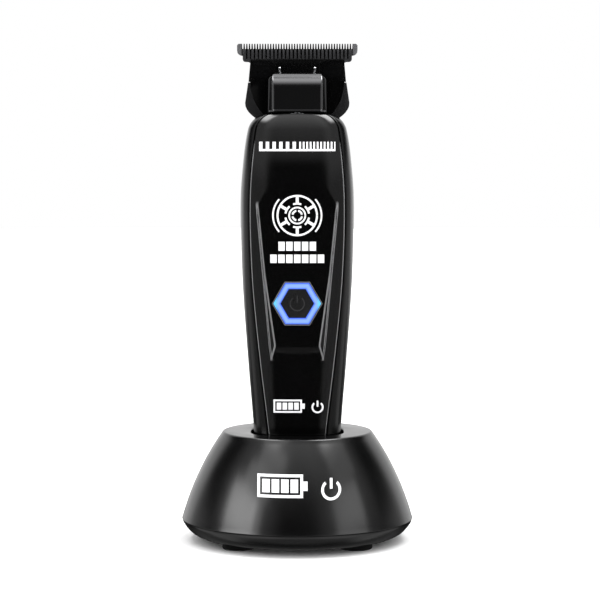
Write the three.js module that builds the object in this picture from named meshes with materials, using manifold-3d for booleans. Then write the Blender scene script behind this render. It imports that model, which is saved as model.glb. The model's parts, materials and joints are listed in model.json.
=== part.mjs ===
// A cordless T-blade hair clipper standing in its round charging base.
// Millimetres. +Z is up and the origin is on the floor at the centre of the base.
// The power button faces -Y, so +X is to the right of someone who looks at it.
// The handle lifts straight up out of the base. Inside it a brushless motor turns an eccentric pin,
// which drives the moving cutter from side to side across the fixed comb blade.
import * as THREE from "three";
import { ConvexGeometry } from "three/addons/geometries/ConvexGeometry.js";
import { mergeVertices } from "three/addons/utils/BufferGeometryUtils.js";
import Module from "manifold-3d";

const wasm = await Module();
wasm.setup();

// ---------------------------------------------------------------- driving dimensions

const GAP = 0.1; // between flat faces of neighbouring pieces

// Charging base
const FOOT_HEIGHT = 2.1; // what shows of a rubber foot below the tray
const FOOT_RADIUS = 5.65;
const FOOT_OFFSET = 20.2; // of each foot from the centre, in x and in y
const TRAY_BOTTOM_RADIUS = 35.2;
const BASE_RADIUS = 40.5; // widest, at the seam between tray and shell
const SEAM_Z = 7.5;
const RIM_Z = 38.4; // flat top face
const RIM_RADIUS = 26.3;
const BASE_WALL = 2.4;
const TRAY_FLOOR_Z = 4.1;
const SOCKET_CLEARANCE = 1.0; // all round the handle
const SOCKET_FLOOR_Z = 13.9;
const CUP_WALL = 1.4;
const PIN_OFFSET = 4.5; // of each charging contact from the centre, in x
const INLET_Z = 13.0; // centre height of the base's power inlet
const STANDOFF_X = 12; // of the charging board's two standoffs

// Handle
const HANDLE_BOTTOM = 14.0;
const CAP_TOP = 17.4; // end cap to housing joint
const SHOULDER_Z = 143.8; // where the round top of the housing begins
const HANDLE_TOP = 149.2;
const TOP_INSET_X = 5.0; // how far the round top draws in at the sides
const TOP_INSET_Y = 1.0; // and at the front and back
const LEDGE_Z = 144.3; // flat ledge behind, which the blade holder stands on
const LEDGE_FRONT_Y = -2.5;
const NECK_FRONT_Y = -4.1; // of the blade holder's neck, inside the housing
const WALL = 2.4;
const COVER_BACK_Y = -6.0; // the front cover reaches back to here at the top
const COVER_SEAM = 0.3; // open joint between front cover and rear housing
const FRONT_POWER = 3.4; // superellipse exponents of the front and rear half sections
const REAR_POWER = 2.6;

// Power button
const BUTTON_Z = 84.1;
const BUTTON_ACROSS = 11.55; // across corners
const RING_ACROSS = 16.35;
const BEZEL_ACROSS = 17.3;
const BUTTON_FACE_Y = -15.0;
const BOARD_FRONT_Y = -11.0;

// Drive
const DRIVE_Y = 2.0; // of the motor's axis
const MOTOR_RADIUS = 10.0;
const MOTOR_SCREW_X = 7.3;
const MOTOR_BOTTOM = 107;
const MOTOR_TOP = 135.5;
const SHAFT_RADIUS = 1.0;
const THROW = 1.0; // of the eccentric pin, and so half the cutter's stroke
const CAM_PIN_RADIUS = 1.2;
const BORE_RADIUS = 5.2; // clear hole round the cam
const BATTERY_RADIUS = 8.5;
const BATTERY_Y = 2.3;
const BATTERY_BOTTOM = 27;
const BATTERY_TOP = 92;

// Blade
const BLADE_TOP = 173.7;
const COMB_TEETH = 41;
const COMB_PITCH = 0.93;
const COMB_GAP = 0.42;
const COMB_HALF_WIDTH = 21.1;
const COMB_FRONT_Y = 7.0;
const COMB_THICKNESS = 2.0;
const CUTTER_TOP = 171.7;
const CUTTER_TEETH = 28;
const CUTTER_PITCH = 1.36;
const CUTTER_GAP = 0.52;
const CUTTER_HALF_WIDTH = 19.1;
const CUTTER_FRONT_Y = 5.7;
const CUTTER_THICKNESS = 1.2;
const SHANK_BOTTOM = 151.6; // of the comb blade, in its pocket behind the holder
const SHANK_HALF_WIDTH = 15.2;
const BLADE_SCREW_X = 12.2;
const BLADE_SCREW_Z = 155.8;
const HOLDER_FRONT_Y = 2.0;
const HOLDER_BACK_Y = 9.0;
const HOLDER_TOP = 160.1;
const WEB_FRONT_Y = 5.0; // the thin wall between the holder's front and rear pockets
const WEB_TOP = 161.6;
const WEB_HALF_WIDTH = 16.5;
const CHANNEL_X = 9.4; // half width of the way the follower and cutter move in

// ---------------------------------------------------------------- materials

const paint = (color, roughness, metalness = 0) =>
  new THREE.MeshStandardMaterial({ color, roughness, metalness });
const glossBlack = paint(0x0b0b0d, 0.12);
const satinBlack = paint(0x17181a, 0.4);
const mattBlack = paint(0x141416, 0.6);
const rubber = paint(0x101010, 0.9);
const blackSteel = paint(0x1b1c1f, 0.3, 0.9);
const blackMetal = paint(0x0e0e10, 0.35, 0.6);
const steel = paint(0x9a9da1, 0.3, 1);
const brass = paint(0xc9a24e, 0.3, 1);
const blueLight = paint(0x6f9bff, 0.3);
const greenBoard = paint(0x1c4a2c, 0.5);
const cellWrap = paint(0x2b5fa8, 0.5);
const springSteel = paint(0xb9bcc0, 0.25, 1);

// ---------------------------------------------------------------- solids and shapes

// A closed three.js geometry as a manifold-3d solid, with its faces pointing out.
function solid(geometry) {
  const source = geometry.index ? geometry.toNonIndexed() : geometry;
  const bare = new THREE.BufferGeometry();
  bare.setAttribute("position", source.getAttribute("position"));
  const merged = mergeVertices(bare, 1e-4);
  const triangles = [];
  for (let i = 0; i < merged.index.count; i += 3) {
    const [a, b, c] = [0, 1, 2].map((k) => merged.index.getX(i + k));
    if (a !== b && b !== c && c !== a) triangles.push([a, b, c]);
  }
  const build = (list) =>
    new wasm.Manifold(
      new wasm.Mesh({
        numProp: 3,
        vertProperties: merged.attributes.position.array,
        triVerts: new Uint32Array(list.flat()),
      }),
    );
  const made = build(triangles);
  return made.volume() < 0 ? build(triangles.map(([a, b, c]) => [a, c, b])) : made;
}

function geometryOf(body) {
  const mesh = body.getMesh();
  const stride = mesh.numProp;
  const positions = new Float32Array(mesh.numVert * 3);
  for (let i = 0; i < mesh.numVert; i++)
    positions.set(mesh.vertProperties.subarray(i * stride, i * stride + 3), i * 3);
  const geometry = new THREE.BufferGeometry();
  geometry.setAttribute("position", new THREE.BufferAttribute(positions, 3));
  geometry.setIndex(new THREE.BufferAttribute(mesh.triVerts, 1));
  geometry.computeVertexNormals();
  return geometry;
}

const join = (first, ...rest) => rest.reduce((made, next) => made.add(next), first);
const cut = (first, ...rest) => rest.reduce((made, next) => made.subtract(next), first);
const sides = [-1, 1];

function box(x0, x1, y0, y1, z0, z1) {
  const geometry = new THREE.BoxGeometry(x1 - x0, y1 - y0, z1 - z0);
  return solid(geometry.translate((x0 + x1) / 2, (y0 + y1) / 2, (z0 + z1) / 2));
}

// A cylinder or cone standing along Z.
function rod(radius, z0, z1, x = 0, y = 0, segments = 20, topRadius = radius) {
  const geometry = new THREE.CylinderGeometry(topRadius, radius, z1 - z0, segments);
  return solid(geometry.rotateX(Math.PI / 2).translate(x, y, (z0 + z1) / 2));
}

// A cylinder lying along Y.
function pegY(radius, y0, y1, x, z, segments = 16) {
  const geometry = new THREE.CylinderGeometry(radius, radius, y1 - y0, segments);
  return solid(geometry.translate(x, (y0 + y1) / 2, z));
}

// A shape drawn in x and z, as thick as the space from y0 to y1.
function slabY(shape, y0, y1, curveSegments = 6) {
  const options = { depth: y1 - y0, bevelEnabled: false, curveSegments };
  const geometry = new THREE.ExtrudeGeometry(shape, options);
  return solid(geometry.rotateX(Math.PI / 2).translate(0, y1, 0));
}

// A shape drawn in x and y, standing from z0 to z1.
function slabZ(shape, z0, z1, curveSegments = 6) {
  const options = { depth: z1 - z0, bevelEnabled: false, curveSegments };
  return solid(new THREE.ExtrudeGeometry(shape, options).translate(0, 0, z0));
}

// A polygon of [y, z] corners, stretched from x0 to x1.
function slabX(corners, x0, x1) {
  const shape = new THREE.Shape(corners.map(([y, z]) => new THREE.Vector2(y, z)));
  const geometry = new THREE.ExtrudeGeometry(shape, { depth: x1 - x0, bevelEnabled: false });
  const turn = new THREE.Matrix4().makeBasis(
    new THREE.Vector3(0, 1, 0),
    new THREE.Vector3(0, 0, 1),
    new THREE.Vector3(1, 0, 0),
  );
  return solid(geometry.applyMatrix4(turn).translate(x0, 0, 0));
}

// A [radius, z] profile turned round the Z axis.
function turned(profile, segments = 64) {
  const points = profile.map(([r, z]) => new THREE.Vector2(Math.max(r, 0), z));
  return solid(new THREE.LatheGeometry(points, segments).rotateX(Math.PI / 2));
}

function roundedRectangle(width, height, radius, x = 0, y = 0) {
  const shape = new THREE.Shape();
  const [w, h] = [width / 2, height / 2];
  shape.moveTo(x - w + radius, y - h);
  shape.lineTo(x + w - radius, y - h);
  shape.absarc(x + w - radius, y - h + radius, radius, -Math.PI / 2, 0);
  shape.absarc(x + w - radius, y + h - radius, radius, 0, Math.PI / 2);
  shape.absarc(x - w + radius, y + h - radius, radius, Math.PI / 2, Math.PI);
  shape.absarc(x - w + radius, y - h + radius, radius, Math.PI, Math.PI * 1.5);
  return shape;
}

// A regular hexagon with corners to the left and right.
function hexagon(across, y = 0) {
  const corners = [0, 1, 2, 3, 4, 5].map((k) => {
    const angle = (k * Math.PI) / 3;
    return new THREE.Vector2((across / 2) * Math.cos(angle), y + (across / 2) * Math.sin(angle));
  });
  return new THREE.Shape(corners);
}

// A solid through rings of equally many points, lowest ring first, each counterclockwise from above.
function loft(rings) {
  const count = rings[0].length;
  const positions = rings.flat().flatMap((p) => [p.x, p.y, p.z]);
  const index = [];
  for (let i = 0; i + 1 < rings.length; i++)
    for (let j = 0; j < count; j++) {
      const [a, b] = [i * count + j, i * count + ((j + 1) % count)];
      index.push(a, b, b + count, a, b + count, a + count);
    }
  const top = (rings.length - 1) * count;
  const flat = (ring) => ring.map((p) => new THREE.Vector2(p.x, p.y));
  for (const [a, b, c] of THREE.ShapeUtils.triangulateShape(flat(rings[0]), []))
    index.push(a, c, b);
  for (const [a, b, c] of THREE.ShapeUtils.triangulateShape(flat(rings.at(-1)), []))
    index.push(top + a, top + b, top + c);
  const geometry = new THREE.BufferGeometry();
  geometry.setAttribute("position", new THREE.Float32BufferAttribute(positions, 3));
  geometry.setIndex(index);
  return solid(geometry);
}

// ---------------------------------------------------------------- the handle's form

// Height, half width, depth of the front and of the back, and half width of the glossy front cover.
const HANDLE_FORM = [
  [14, 14.4, 13.2, 13.0, 8.2],
  [38, 15.2, 14.1, 14.2, 9.9],
  [63, 17.15, 15.6, 15.8, 12.8],
  [88, 18.95, 16.7, 16.8, 15.3],
  [106, 19.6, 17.0, 17.0, 16.2],
  [120, 19.7, 16.6, 16.8, 16.3],
  [131, 18.95, 14.9, 16.2, 15.7],
  [140.5, 17.8, 11.6, 15.2, 14.6],
  [149.2, 15.9, 8.2, 13.6, 13.3],
];
const [WIDTH, FRONT, REAR, COVER] = [1, 2, 3, 4];

// A smooth curve through one column of HANDLE_FORM.
function form(column, z) {
  const rows = HANDLE_FORM;
  const i = Math.max(0, Math.min(rows.length - 2, rows.findIndex((row) => row[0] > z) - 1));
  const k = z >= rows.at(-1)[0] ? rows.length - 2 : i;
  const slope = (j) => {
    const [low, high] = [rows[Math.max(j - 1, 0)], rows[Math.min(j + 1, rows.length - 1)]];
    return (high[column] - low[column]) / (high[0] - low[0]);
  };
  const [a, b] = [rows[k], rows[k + 1]];
  const length = b[0] - a[0];
  const t = (z - a[0]) / length;
  return (
    a[column] * (2 * t ** 3 - 3 * t ** 2 + 1) +
    b[column] * (3 * t ** 2 - 2 * t ** 3) +
    length * slope(k) * (t ** 3 - 2 * t ** 2 + t) +
    length * slope(k + 1) * (t ** 3 - t ** 2)
  );
}

// The share of the round top's inset at height z, from 0 at the shoulder to 1 at the very top.
function topInset(z) {
  const t = Math.max(0, Math.min(1, (z - SHOULDER_Z) / (HANDLE_TOP - SHOULDER_Z)));
  return 1 - Math.sqrt(1 - t * t);
}

// The handle's cross section at height z, grown outwards by so much.
function section(z, grow = 0, count = 40) {
  const a = form(WIDTH, z) - TOP_INSET_X * topInset(z) + grow;
  const front = form(FRONT, z) - TOP_INSET_Y * topInset(z) + grow;
  const rear = form(REAR, z) - TOP_INSET_Y * topInset(z) + grow;
  return Array.from({ length: count }, (_, i) => {
    const angle = (2 * Math.PI * i) / count;
    const [c, s] = [Math.cos(angle), Math.sin(angle)];
    const power = 2 / (s < 0 ? FRONT_POWER : REAR_POWER);
    const [x, y] = [Math.abs(c) ** power, Math.abs(s) ** power];
    return new THREE.Vector3(Math.sign(c) * a * x, Math.sign(s) * (s < 0 ? front : rear) * y, z);
  });
}

const steps = (from, to, count) =>
  Array.from({ length: count + 1 }, (_, i) => from + ((to - from) * i) / count);

// What lies in front of the seam between front cover and rear housing.
function coverPrism(grow) {
  const heights = [...steps(CAP_TOP, SHOULDER_Z, 10), ...steps(SHOULDER_Z, HANDLE_TOP + 0.5, 3).slice(1)];
  return loft(
    heights.map((z) => {
      const x = form(COVER, z) - TOP_INSET_X * topInset(z) + grow;
      const corners = [[-x, -30], [x, -30], [x, COVER_BACK_Y + grow], [-x, COVER_BACK_Y + grow]];
      return corners.map(([px, py]) => new THREE.Vector3(px, py, z));
    }),
  );
}

// The hollow housing before it is parted into front cover and rear housing.
function housingShell() {
  const body = [...steps(CAP_TOP + GAP, SHOULDER_Z, 10)];
  const round = steps(0, 1, 5).map((t) => SHOULDER_Z + (HANDLE_TOP - SHOULDER_Z) * Math.sin((t * Math.PI) / 2));
  const outside = loft([...body, ...round.slice(1)].map((z) => section(z)));
  const inside = loft([10, ...steps(CAP_TOP, 132, 7), 138, 142.4].map((z) => section(z, -WALL, 24)));
  return cut(
    outside,
    inside,
    box(-30, 30, LEDGE_FRONT_Y, 30, LEDGE_Z, 160), // ledge for the blade holder
    box(-11.9, 11.9, NECK_FRONT_Y - 0.4, 9.4, 140, 160), // neck opening
  );
}

// The shallow thumb recess: ramps down from the top, runs deeper to below the button and comes up again.
function thumbRecess() {
  const floor = [
    [10.5, 131.5, -17.0],
    [13.6, 118.3, -15.35],
    [11.25, 94.5, -14.9],
    [7.65, 69.5, -14.45],
    [8.7, 65.9, -15.75],
  ];
  const rim = [
    [12.0, 131.5, -17.6],
    [13.9, 118.3, -16.2],
    [9.5, 69.5, -16.4],
    [9.0, 65.7, -16.4],
  ];
  const points = [];
  for (const side of sides) {
    for (const [x, z, y] of [...floor, ...rim]) points.push(new THREE.Vector3(side * x, y, z));
    for (const [x, z] of rim) points.push(new THREE.Vector3(side * (x + 2.5), -19.5, z));
  }
  return solid(new ConvexGeometry(points));
}

// ---------------------------------------------------------------- assembly helpers

const clipper = new THREE.Group();
const baseGroup = new THREE.Group();
const handleGroup = new THREE.Group();
const driveGroup = new THREE.Group();
const bladeGroup = new THREE.Group();
handleGroup.add(driveGroup, bladeGroup);
clipper.add(baseGroup, handleGroup);

function add(group, name, body, material) {
  const mesh = new THREE.Mesh(geometryOf(body), material);
  mesh.name = name;
  group.add(mesh);
}

const leftRight = [
  ["left", -1],
  ["right", 1],
];

// A cross-head screw along Z with its head below, or along Y with its head to the rear.
function screwZ(headRadius, headHeight, shankRadius, length, x, y, headZ) {
  const body = join(
    rod(headRadius, headZ, headZ + headHeight, x, y, 16),
    rod(shankRadius, headZ + headHeight - 0.01, headZ + headHeight + length, x, y, 10),
  );
  const depth = headHeight * 0.6;
  return cut(
    body,
    box(x - headRadius * 0.6, x + headRadius * 0.6, y - 0.3, y + 0.3, headZ - 1, headZ + depth),
    box(x - 0.3, x + 0.3, y - headRadius * 0.6, y + headRadius * 0.6, headZ - 1, headZ + depth),
  );
}

function screwY(headRadius, headHeight, shankRadius, length, x, z, headY) {
  const body = join(
    pegY(headRadius, headY, headY + headHeight, x, z, 16),
    pegY(shankRadius, headY - length, headY + 0.01, x, z, 10),
  );
  const reach = headRadius * 0.6;
  const [y0, y1] = [headY + headHeight * 0.4, headY + headHeight + 1];
  return cut(
    body,
    box(x - reach, x + reach, y0, y1, z - 0.3, z + 0.3),
    box(x - 0.3, x + 0.3, y0, y1, z - reach, z + reach),
  );
}

// ---------------------------------------------------------------- charging base

const footPlaces = [
  [-1, -1],
  [1, -1],
  [1, 1],
  [-1, 1],
].map(([x, y]) => [x * FOOT_OFFSET, y * FOOT_OFFSET]);

// Points on the curve of the dome, moved inwards by so much.
function domeCurve(inset) {
  const curve = new THREE.QuadraticBezierCurve(
    new THREE.Vector2(BASE_RADIUS - 0.2, SEAM_Z + 0.9),
    new THREE.Vector2(35.6, 24.8),
    new THREE.Vector2(RIM_RADIUS + 0.35, RIM_Z - 0.9),
  );
  return curve.getPoints(7).map((p) => [p.x - inset, p.y]);
}

function baseShell() {
  const outside = turned([
    [0, SEAM_Z + 0.2],
    [BASE_RADIUS - 0.3, SEAM_Z + 0.2],
    [BASE_RADIUS, SEAM_Z + 0.4],
    ...domeCurve(0),
    [RIM_RADIUS - 0.15, RIM_Z - 0.2],
    [RIM_RADIUS - 0.8, RIM_Z],
    [0, RIM_Z],
  ], 64);
  const inside = turned([
    [0, SEAM_Z - 2],
    [38.1, SEAM_Z - 2],
    [38.1, 9.2],
    ...domeCurve(BASE_WALL).filter(([, z]) => z < RIM_Z - BASE_WALL - 0.6),
    [24.6, RIM_Z - BASE_WALL],
    [0, RIM_Z - BASE_WALL],
  ], 32);
  const socket = loft([30, 40].map((z) => section(z, SOCKET_CLEARANCE)));
  const inlet = slabY(roundedRectangle(10.4, 4.6, 1.8, 0, INLET_Z), 30, 45);
  const bosses = footPlaces.map(([x, y]) => cut(rod(3, 10, 28.5, x, y, 14), rod(1.5, 9, 23, x, y, 12)));
  return cut(join(cut(outside, inside), ...bosses), socket, inlet);
}

function baseTray() {
  const side = new THREE.QuadraticBezierCurve(
    new THREE.Vector2(TRAY_BOTTOM_RADIUS, FOOT_HEIGHT),
    new THREE.Vector2(38.4, 3.3),
    new THREE.Vector2(BASE_RADIUS, SEAM_Z - 0.1),
  );
  const outside = turned([[0, FOOT_HEIGHT], ...side.getPoints(4).map((p) => [p.x, p.y]), [0, SEAM_Z - 0.1]], 64);
  const hollow = rod(36.4, TRAY_FLOOR_Z, 20, 0, 0, 36);
  const lip = cut(rod(37.4, SEAM_Z - 1, 9.0, 0, 0, 36), rod(36.4, 5, 20, 0, 0, 36));
  const posts = footPlaces.map(([x, y]) => rod(4.2, TRAY_FLOOR_Z - 0.1, 9.8, x, y, 14));
  const standoffs = sides.map((s) => rod(2.2, TRAY_FLOOR_Z - 0.1, 6.3, s * STANDOFF_X, 0, 12));
  const shelf = box(-6, 6, 28.5, 35.5, TRAY_FLOOR_Z - 0.1, INLET_Z - 1.7);
  return cut(
    join(cut(outside, hollow), lip, shelf, ...posts, ...standoffs),
    ...footPlaces.map(([x, y]) => rod(FOOT_RADIUS + 0.15, 0, 3.1, x, y, 24)),
    ...footPlaces.map(([x, y]) => rod(3, 2, 6, x, y, 14)),
    ...footPlaces.map(([x, y]) => rod(1.7, 2, 12, x, y, 12)),
    ...sides.map((s) => rod(1.3, TRAY_FLOOR_Z + 0.3, 8, s * STANDOFF_X, 0, 10)),
  );
}

function cradleCup() {
  const top = RIM_Z - BASE_WALL - GAP;
  const outside = loft([11.9, 24, top].map((z) => section(z, SOCKET_CLEARANCE + CUP_WALL, 32)));
  const flange = loft([top - 1.4, top].map((z) => section(z, SOCKET_CLEARANCE + 4, 32)));
  const inside = loft([SOCKET_FLOOR_Z, 24, 40].map((z) => section(z, SOCKET_CLEARANCE, 48)));
  return cut(
    join(outside, flange),
    inside,
    ...sides.map((s) => rod(1.15, 10, 15, s * PIN_OFFSET, 0, 14)),
  );
}

function buildBase() {
  add(baseGroup, "base_shell", baseShell(), satinBlack);
  add(baseGroup, "base_tray", baseTray(), mattBlack);
  add(baseGroup, "cradle_cup", cradleCup(), mattBlack);
  const ring = cut(rod(24, TRAY_FLOOR_Z + GAP, 16, 0, 0, 36), rod(20, 0, 20, 0, 0, 36));
  add(baseGroup, "ballast_ring", ring, steel);

  const boardTop = 8.0;
  const board = slabZ(roundedRectangle(30, 20, 2), 6.4, boardTop, 3);
  const chip = box(-3, 3, 5, 9, boardTop - 0.01, boardTop + 1.2);
  const boardHoles = sides.map((s) => rod(1.35, 5, 10, s * STANDOFF_X, 0, 12));
  add(baseGroup, "charging_board", cut(join(board, chip), ...boardHoles), greenBoard);
  sides.forEach((s, i) => {
    const screw = screwZ(2, 1.2, 1.0, 3.2, -s * STANDOFF_X, 0, -boardTop - 1.3);
    add(baseGroup, `board_screw_${i + 1}`, screw.rotate([0, 180, 0]), steel);
  });

  const block = cut(
    box(-8.5, 8.5, -3.4, 3.4, boardTop + GAP, 11.8),
    ...sides.map((s) => rod(1.45, 7, 10.9, s * PIN_OFFSET, 0, 14)),
    ...sides.map((s) => rod(1.0, 10, 13, s * PIN_OFFSET, 0, 14)),
  );
  add(baseGroup, "contact_block", block, mattBlack);
  for (const [name, s] of leftRight) {
    const x = s * PIN_OFFSET;
    const pin = join(
      rod(1.2, 9.95, 10.7, x, 0, 12),
      rod(0.75, 10.6, 13.9, x, 0, 12),
      rod(0.75, 13.89, 14.3, x, 0, 12, 0.4),
    );
    add(baseGroup, `contact_pin_${name}`, pin, brass);
    add(baseGroup, `pin_spring_${name}`, coil(x, 0, 8.3, 9.75, 0.9, 0.18, 3), springSteel);
  }

  add(baseGroup, "base_inlet", usbSocket().translate([0, 29.6, INLET_Z]), steel);
  footPlaces.forEach(([x, y], i) => {
    const foot = join(rod(FOOT_RADIUS - 0.4, 0, 0.41, x, y, 24, FOOT_RADIUS), rod(FOOT_RADIUS, 0.4, 3.0, x, y, 24));
    add(baseGroup, `foot_${i + 1}`, foot, rubber);
    add(baseGroup, `base_screw_${i + 1}`, screwZ(2.7, 1.9, 1.4, 14, x, y, 3.3), steel);
  });
}

// A helical compression spring with flat-cut ends, standing along Z.
function coil(x, y, z0, z1, radius, wire, turns) {
  const perTurn = 9;
  const points = steps(0, turns * perTurn, turns * perTurn).map((i) => {
    const angle = (2 * Math.PI * i) / perTurn;
    const z = z0 + wire + ((z1 - z0 - 2 * wire) * i) / (turns * perTurn);
    return new THREE.Vector3(x + radius * Math.cos(angle), y + radius * Math.sin(angle), z);
  });
  return tube(points, wire, 5, turns * perTurn * 1.2);
}

// A round wire along a smooth curve through points.
function tube(points, radius, count, length) {
  const ring = steps(0, count, count).slice(0, -1).map((i) => {
    const angle = (2 * Math.PI * i) / count;
    return new THREE.Vector2(radius * Math.cos(angle), radius * Math.sin(angle));
  });
  const extrudePath = new THREE.CatmullRomCurve3(points);
  const options = { steps: Math.round(length), bevelEnabled: false, extrudePath };
  return solid(new THREE.ExtrudeGeometry(new THREE.Shape(ring), options));
}

// A small power socket: metal shell, mouth facing +Y, with a tongue inside. Centred on its axis.
function usbSocket() {
  const length = 7.6;
  const shell = slabY(roundedRectangle(9, 3.2, 1.5), 0, length, 3);
  const mouth = slabY(roundedRectangle(8.3, 2.5, 1.2), 1, length + 1, 3);
  return join(cut(shell, mouth), box(-3.3, 3.3, 0.9, length - 1.2, -0.35, 0.35));
}

// ---------------------------------------------------------------- handle

const lowerScrews = { x: 8.2, z: 21.6, headY: 8.8 };
const upperScrews = { x: 13.0, z: 100.5, headY: 11.2 };
const coverBossEnd = 5.0;

function buildHandle() {
  const shell = housingShell();
  const screwPlaces = [lowerScrews, upperScrews].flatMap((at) => sides.map((s) => ({ ...at, x: s * at.x })));
  const around = (radius, y0, y1) => screwPlaces.map(({ x, z }) => pegY(radius, y0, y1, x, z, 14));

  const inner = (inset) => loft([14, ...steps(CAP_TOP + 0.2, 138, 7)].map((z) => section(z, -inset, 24)));
  const insideOf = inner(0.5);
  const frontRoom = join(coverPrism(0), inner(WALL + COVER_SEAM)).intersect(insideOf);
  const coverBosses = around(2.4, -16, coverBossEnd).map((boss) => boss.intersect(frontRoom));
  const buttonHole = slabY(hexagon(BEZEL_ACROSS + 0.3, BUTTON_Z), -25, -8);
  const front = cut(
    join(shell.intersect(coverPrism(0)), ...coverBosses),
    thumbRecess(),
    buttonHole,
    ...around(1.35, -8, 10),
  );
  add(handleGroup, "front_cover", front, glossBlack);

  const housingBosses = around(3.2, coverBossEnd + 0.3, 20).map((boss) => boss.intersect(insideOf));
  const counterbores = screwPlaces.map(({ x, z, headY }) => pegY(2.8, headY, 25, x, z, 16));
  const rear = cut(
    join(cut(shell, coverPrism(COVER_SEAM)), ...housingBosses),
    ...around(1.5, 0, 20),
    ...counterbores,
  );
  add(handleGroup, "rear_housing", rear, satinBlack);
  ["lower", "upper"].forEach((level, i) => {
    const at = [lowerScrews, upperScrews][i];
    for (const [name, s] of leftRight)
      add(handleGroup, `housing_screw_${level}_${name}`, screwY(2.5, 1.6, 1.2, 14, s * at.x, at.z, at.headY + GAP), steel);
  });

  // End cap with two charging pads and the handle's own power socket
  const cap = loft([[14, -1.2], [14.35, -0.5], [15, -0.1], [CAP_TOP, 0]].map(([z, grow]) => section(z, grow)));
  const jackY = 6.6;
  const capCut = cut(
    cap,
    ...sides.map((s) => rod(1.95, 10, 15.1, s * PIN_OFFSET, 0, 16)),
    ...sides.map((s) => rod(0.85, 10, 20, s * PIN_OFFSET, 0, 12)),
    slabZ(roundedRectangle(9.3, 3.5, 1.6, 0, jackY), 10, 20, 3),
  );
  add(handleGroup, "end_cap", capCut, mattBlack);
  for (const [name, s] of leftRight) {
    const pad = join(rod(1.8, 14.4, 15.0, s * PIN_OFFSET, 0, 16), rod(0.7, 14.9, 19, s * PIN_OFFSET, 0, 10));
    add(handleGroup, `charge_pad_${name}`, pad, brass);
  }
  const jack = usbSocket().rotate([-90, 0, 0]).translate([0, jackY, 22.2]);
  add(handleGroup, "charge_jack", jack, steel);

  buildButton();
  buildElectronics();
}

function buildButton() {
  const bezel = cut(
    slabY(hexagon(BEZEL_ACROSS, BUTTON_Z), BUTTON_FACE_Y - 0.15, -13.3),
    slabY(hexagon(RING_ACROSS + 0.25, BUTTON_Z), -20, -8),
  );
  add(handleGroup, "button_bezel", bezel, blackMetal);
  const ring = cut(
    slabY(hexagon(RING_ACROSS, BUTTON_Z), BUTTON_FACE_Y, -13.3),
    slabY(hexagon(BUTTON_ACROSS + 0.1, BUTTON_Z), -20, -8),
  );
  add(handleGroup, "led_ring", ring, blueLight);
  const button = join(
    slabY(hexagon(BUTTON_ACROSS - 0.4, BUTTON_Z), BUTTON_FACE_Y + 0.05, -13.0),
    slabY(hexagon(BUTTON_ACROSS + 1.6, BUTTON_Z), -13.1, -12.7),
  );
  add(handleGroup, "power_button", button, glossBlack);
}

function buildElectronics() {
  const boardBack = BOARD_FRONT_Y + 1.2;
  const board = join(
    slabY(roundedRectangle(20, 36, 1.5, 0, 79), BOARD_FRONT_Y, boardBack, 3),
    box(-4, 4, BOARD_FRONT_Y - 0.9, BOARD_FRONT_Y + 0.1, 63.5, 69.5), // controller
    ...[-1, 1].flatMap((s) => [0, 1, -1].map((k) => {
      const [x, z] = [s * (k === 0 ? 7 : 3.6), BUTTON_Z + k * 6.2];
      return box(x - 0.8, x + 0.8, BOARD_FRONT_Y - 0.7, BOARD_FRONT_Y + 0.1, z - 0.5, z + 0.5); // light
    })),
  );
  add(handleGroup, "control_board", board, greenBoard);
  const tact = join(
    box(-2.6, 2.6, -11.7, BOARD_FRONT_Y - 0.05, BUTTON_Z - 2.6, BUTTON_Z + 2.6),
    pegY(1.4, -12.0, -11.6, 0, BUTTON_Z, 14),
  );
  add(handleGroup, "tact_switch", tact, mattBlack);

  // Chassis that carries board and cell
  const frontY = boardBack + GAP;
  const frame = join(
    box(-10, 10, -7.6, -6.4, 25, 98),
    ...sides.flatMap((s) => [62.5, 95].map((z) => pegY(1.8, frontY, -7.5, s * 7.5, z, 12))),
    ...[25, 94.2].map((z) => box(-8.5, 8.5, -6.5, 9, z, z + 1.6)),
  );
  add(handleGroup, "inner_frame", frame, mattBlack);
  const cell = join(
    rod(BATTERY_RADIUS, BATTERY_BOTTOM, BATTERY_TOP, 0, BATTERY_Y, 28),
    rod(3, BATTERY_TOP - 0.1, BATTERY_TOP + 0.9, 0, BATTERY_Y, 16),
  );
  add(handleGroup, "battery_cell", cell, cellWrap);
  add(handleGroup, "battery_tab_top", box(-2.5, 2.5, -4, 7, 93.1, 93.5), springSteel);
  add(handleGroup, "battery_tab_bottom", box(-2.5, 2.5, -4, 7, 26.65, 26.9), springSteel);
}

// ---------------------------------------------------------------- motor and cam

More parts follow.
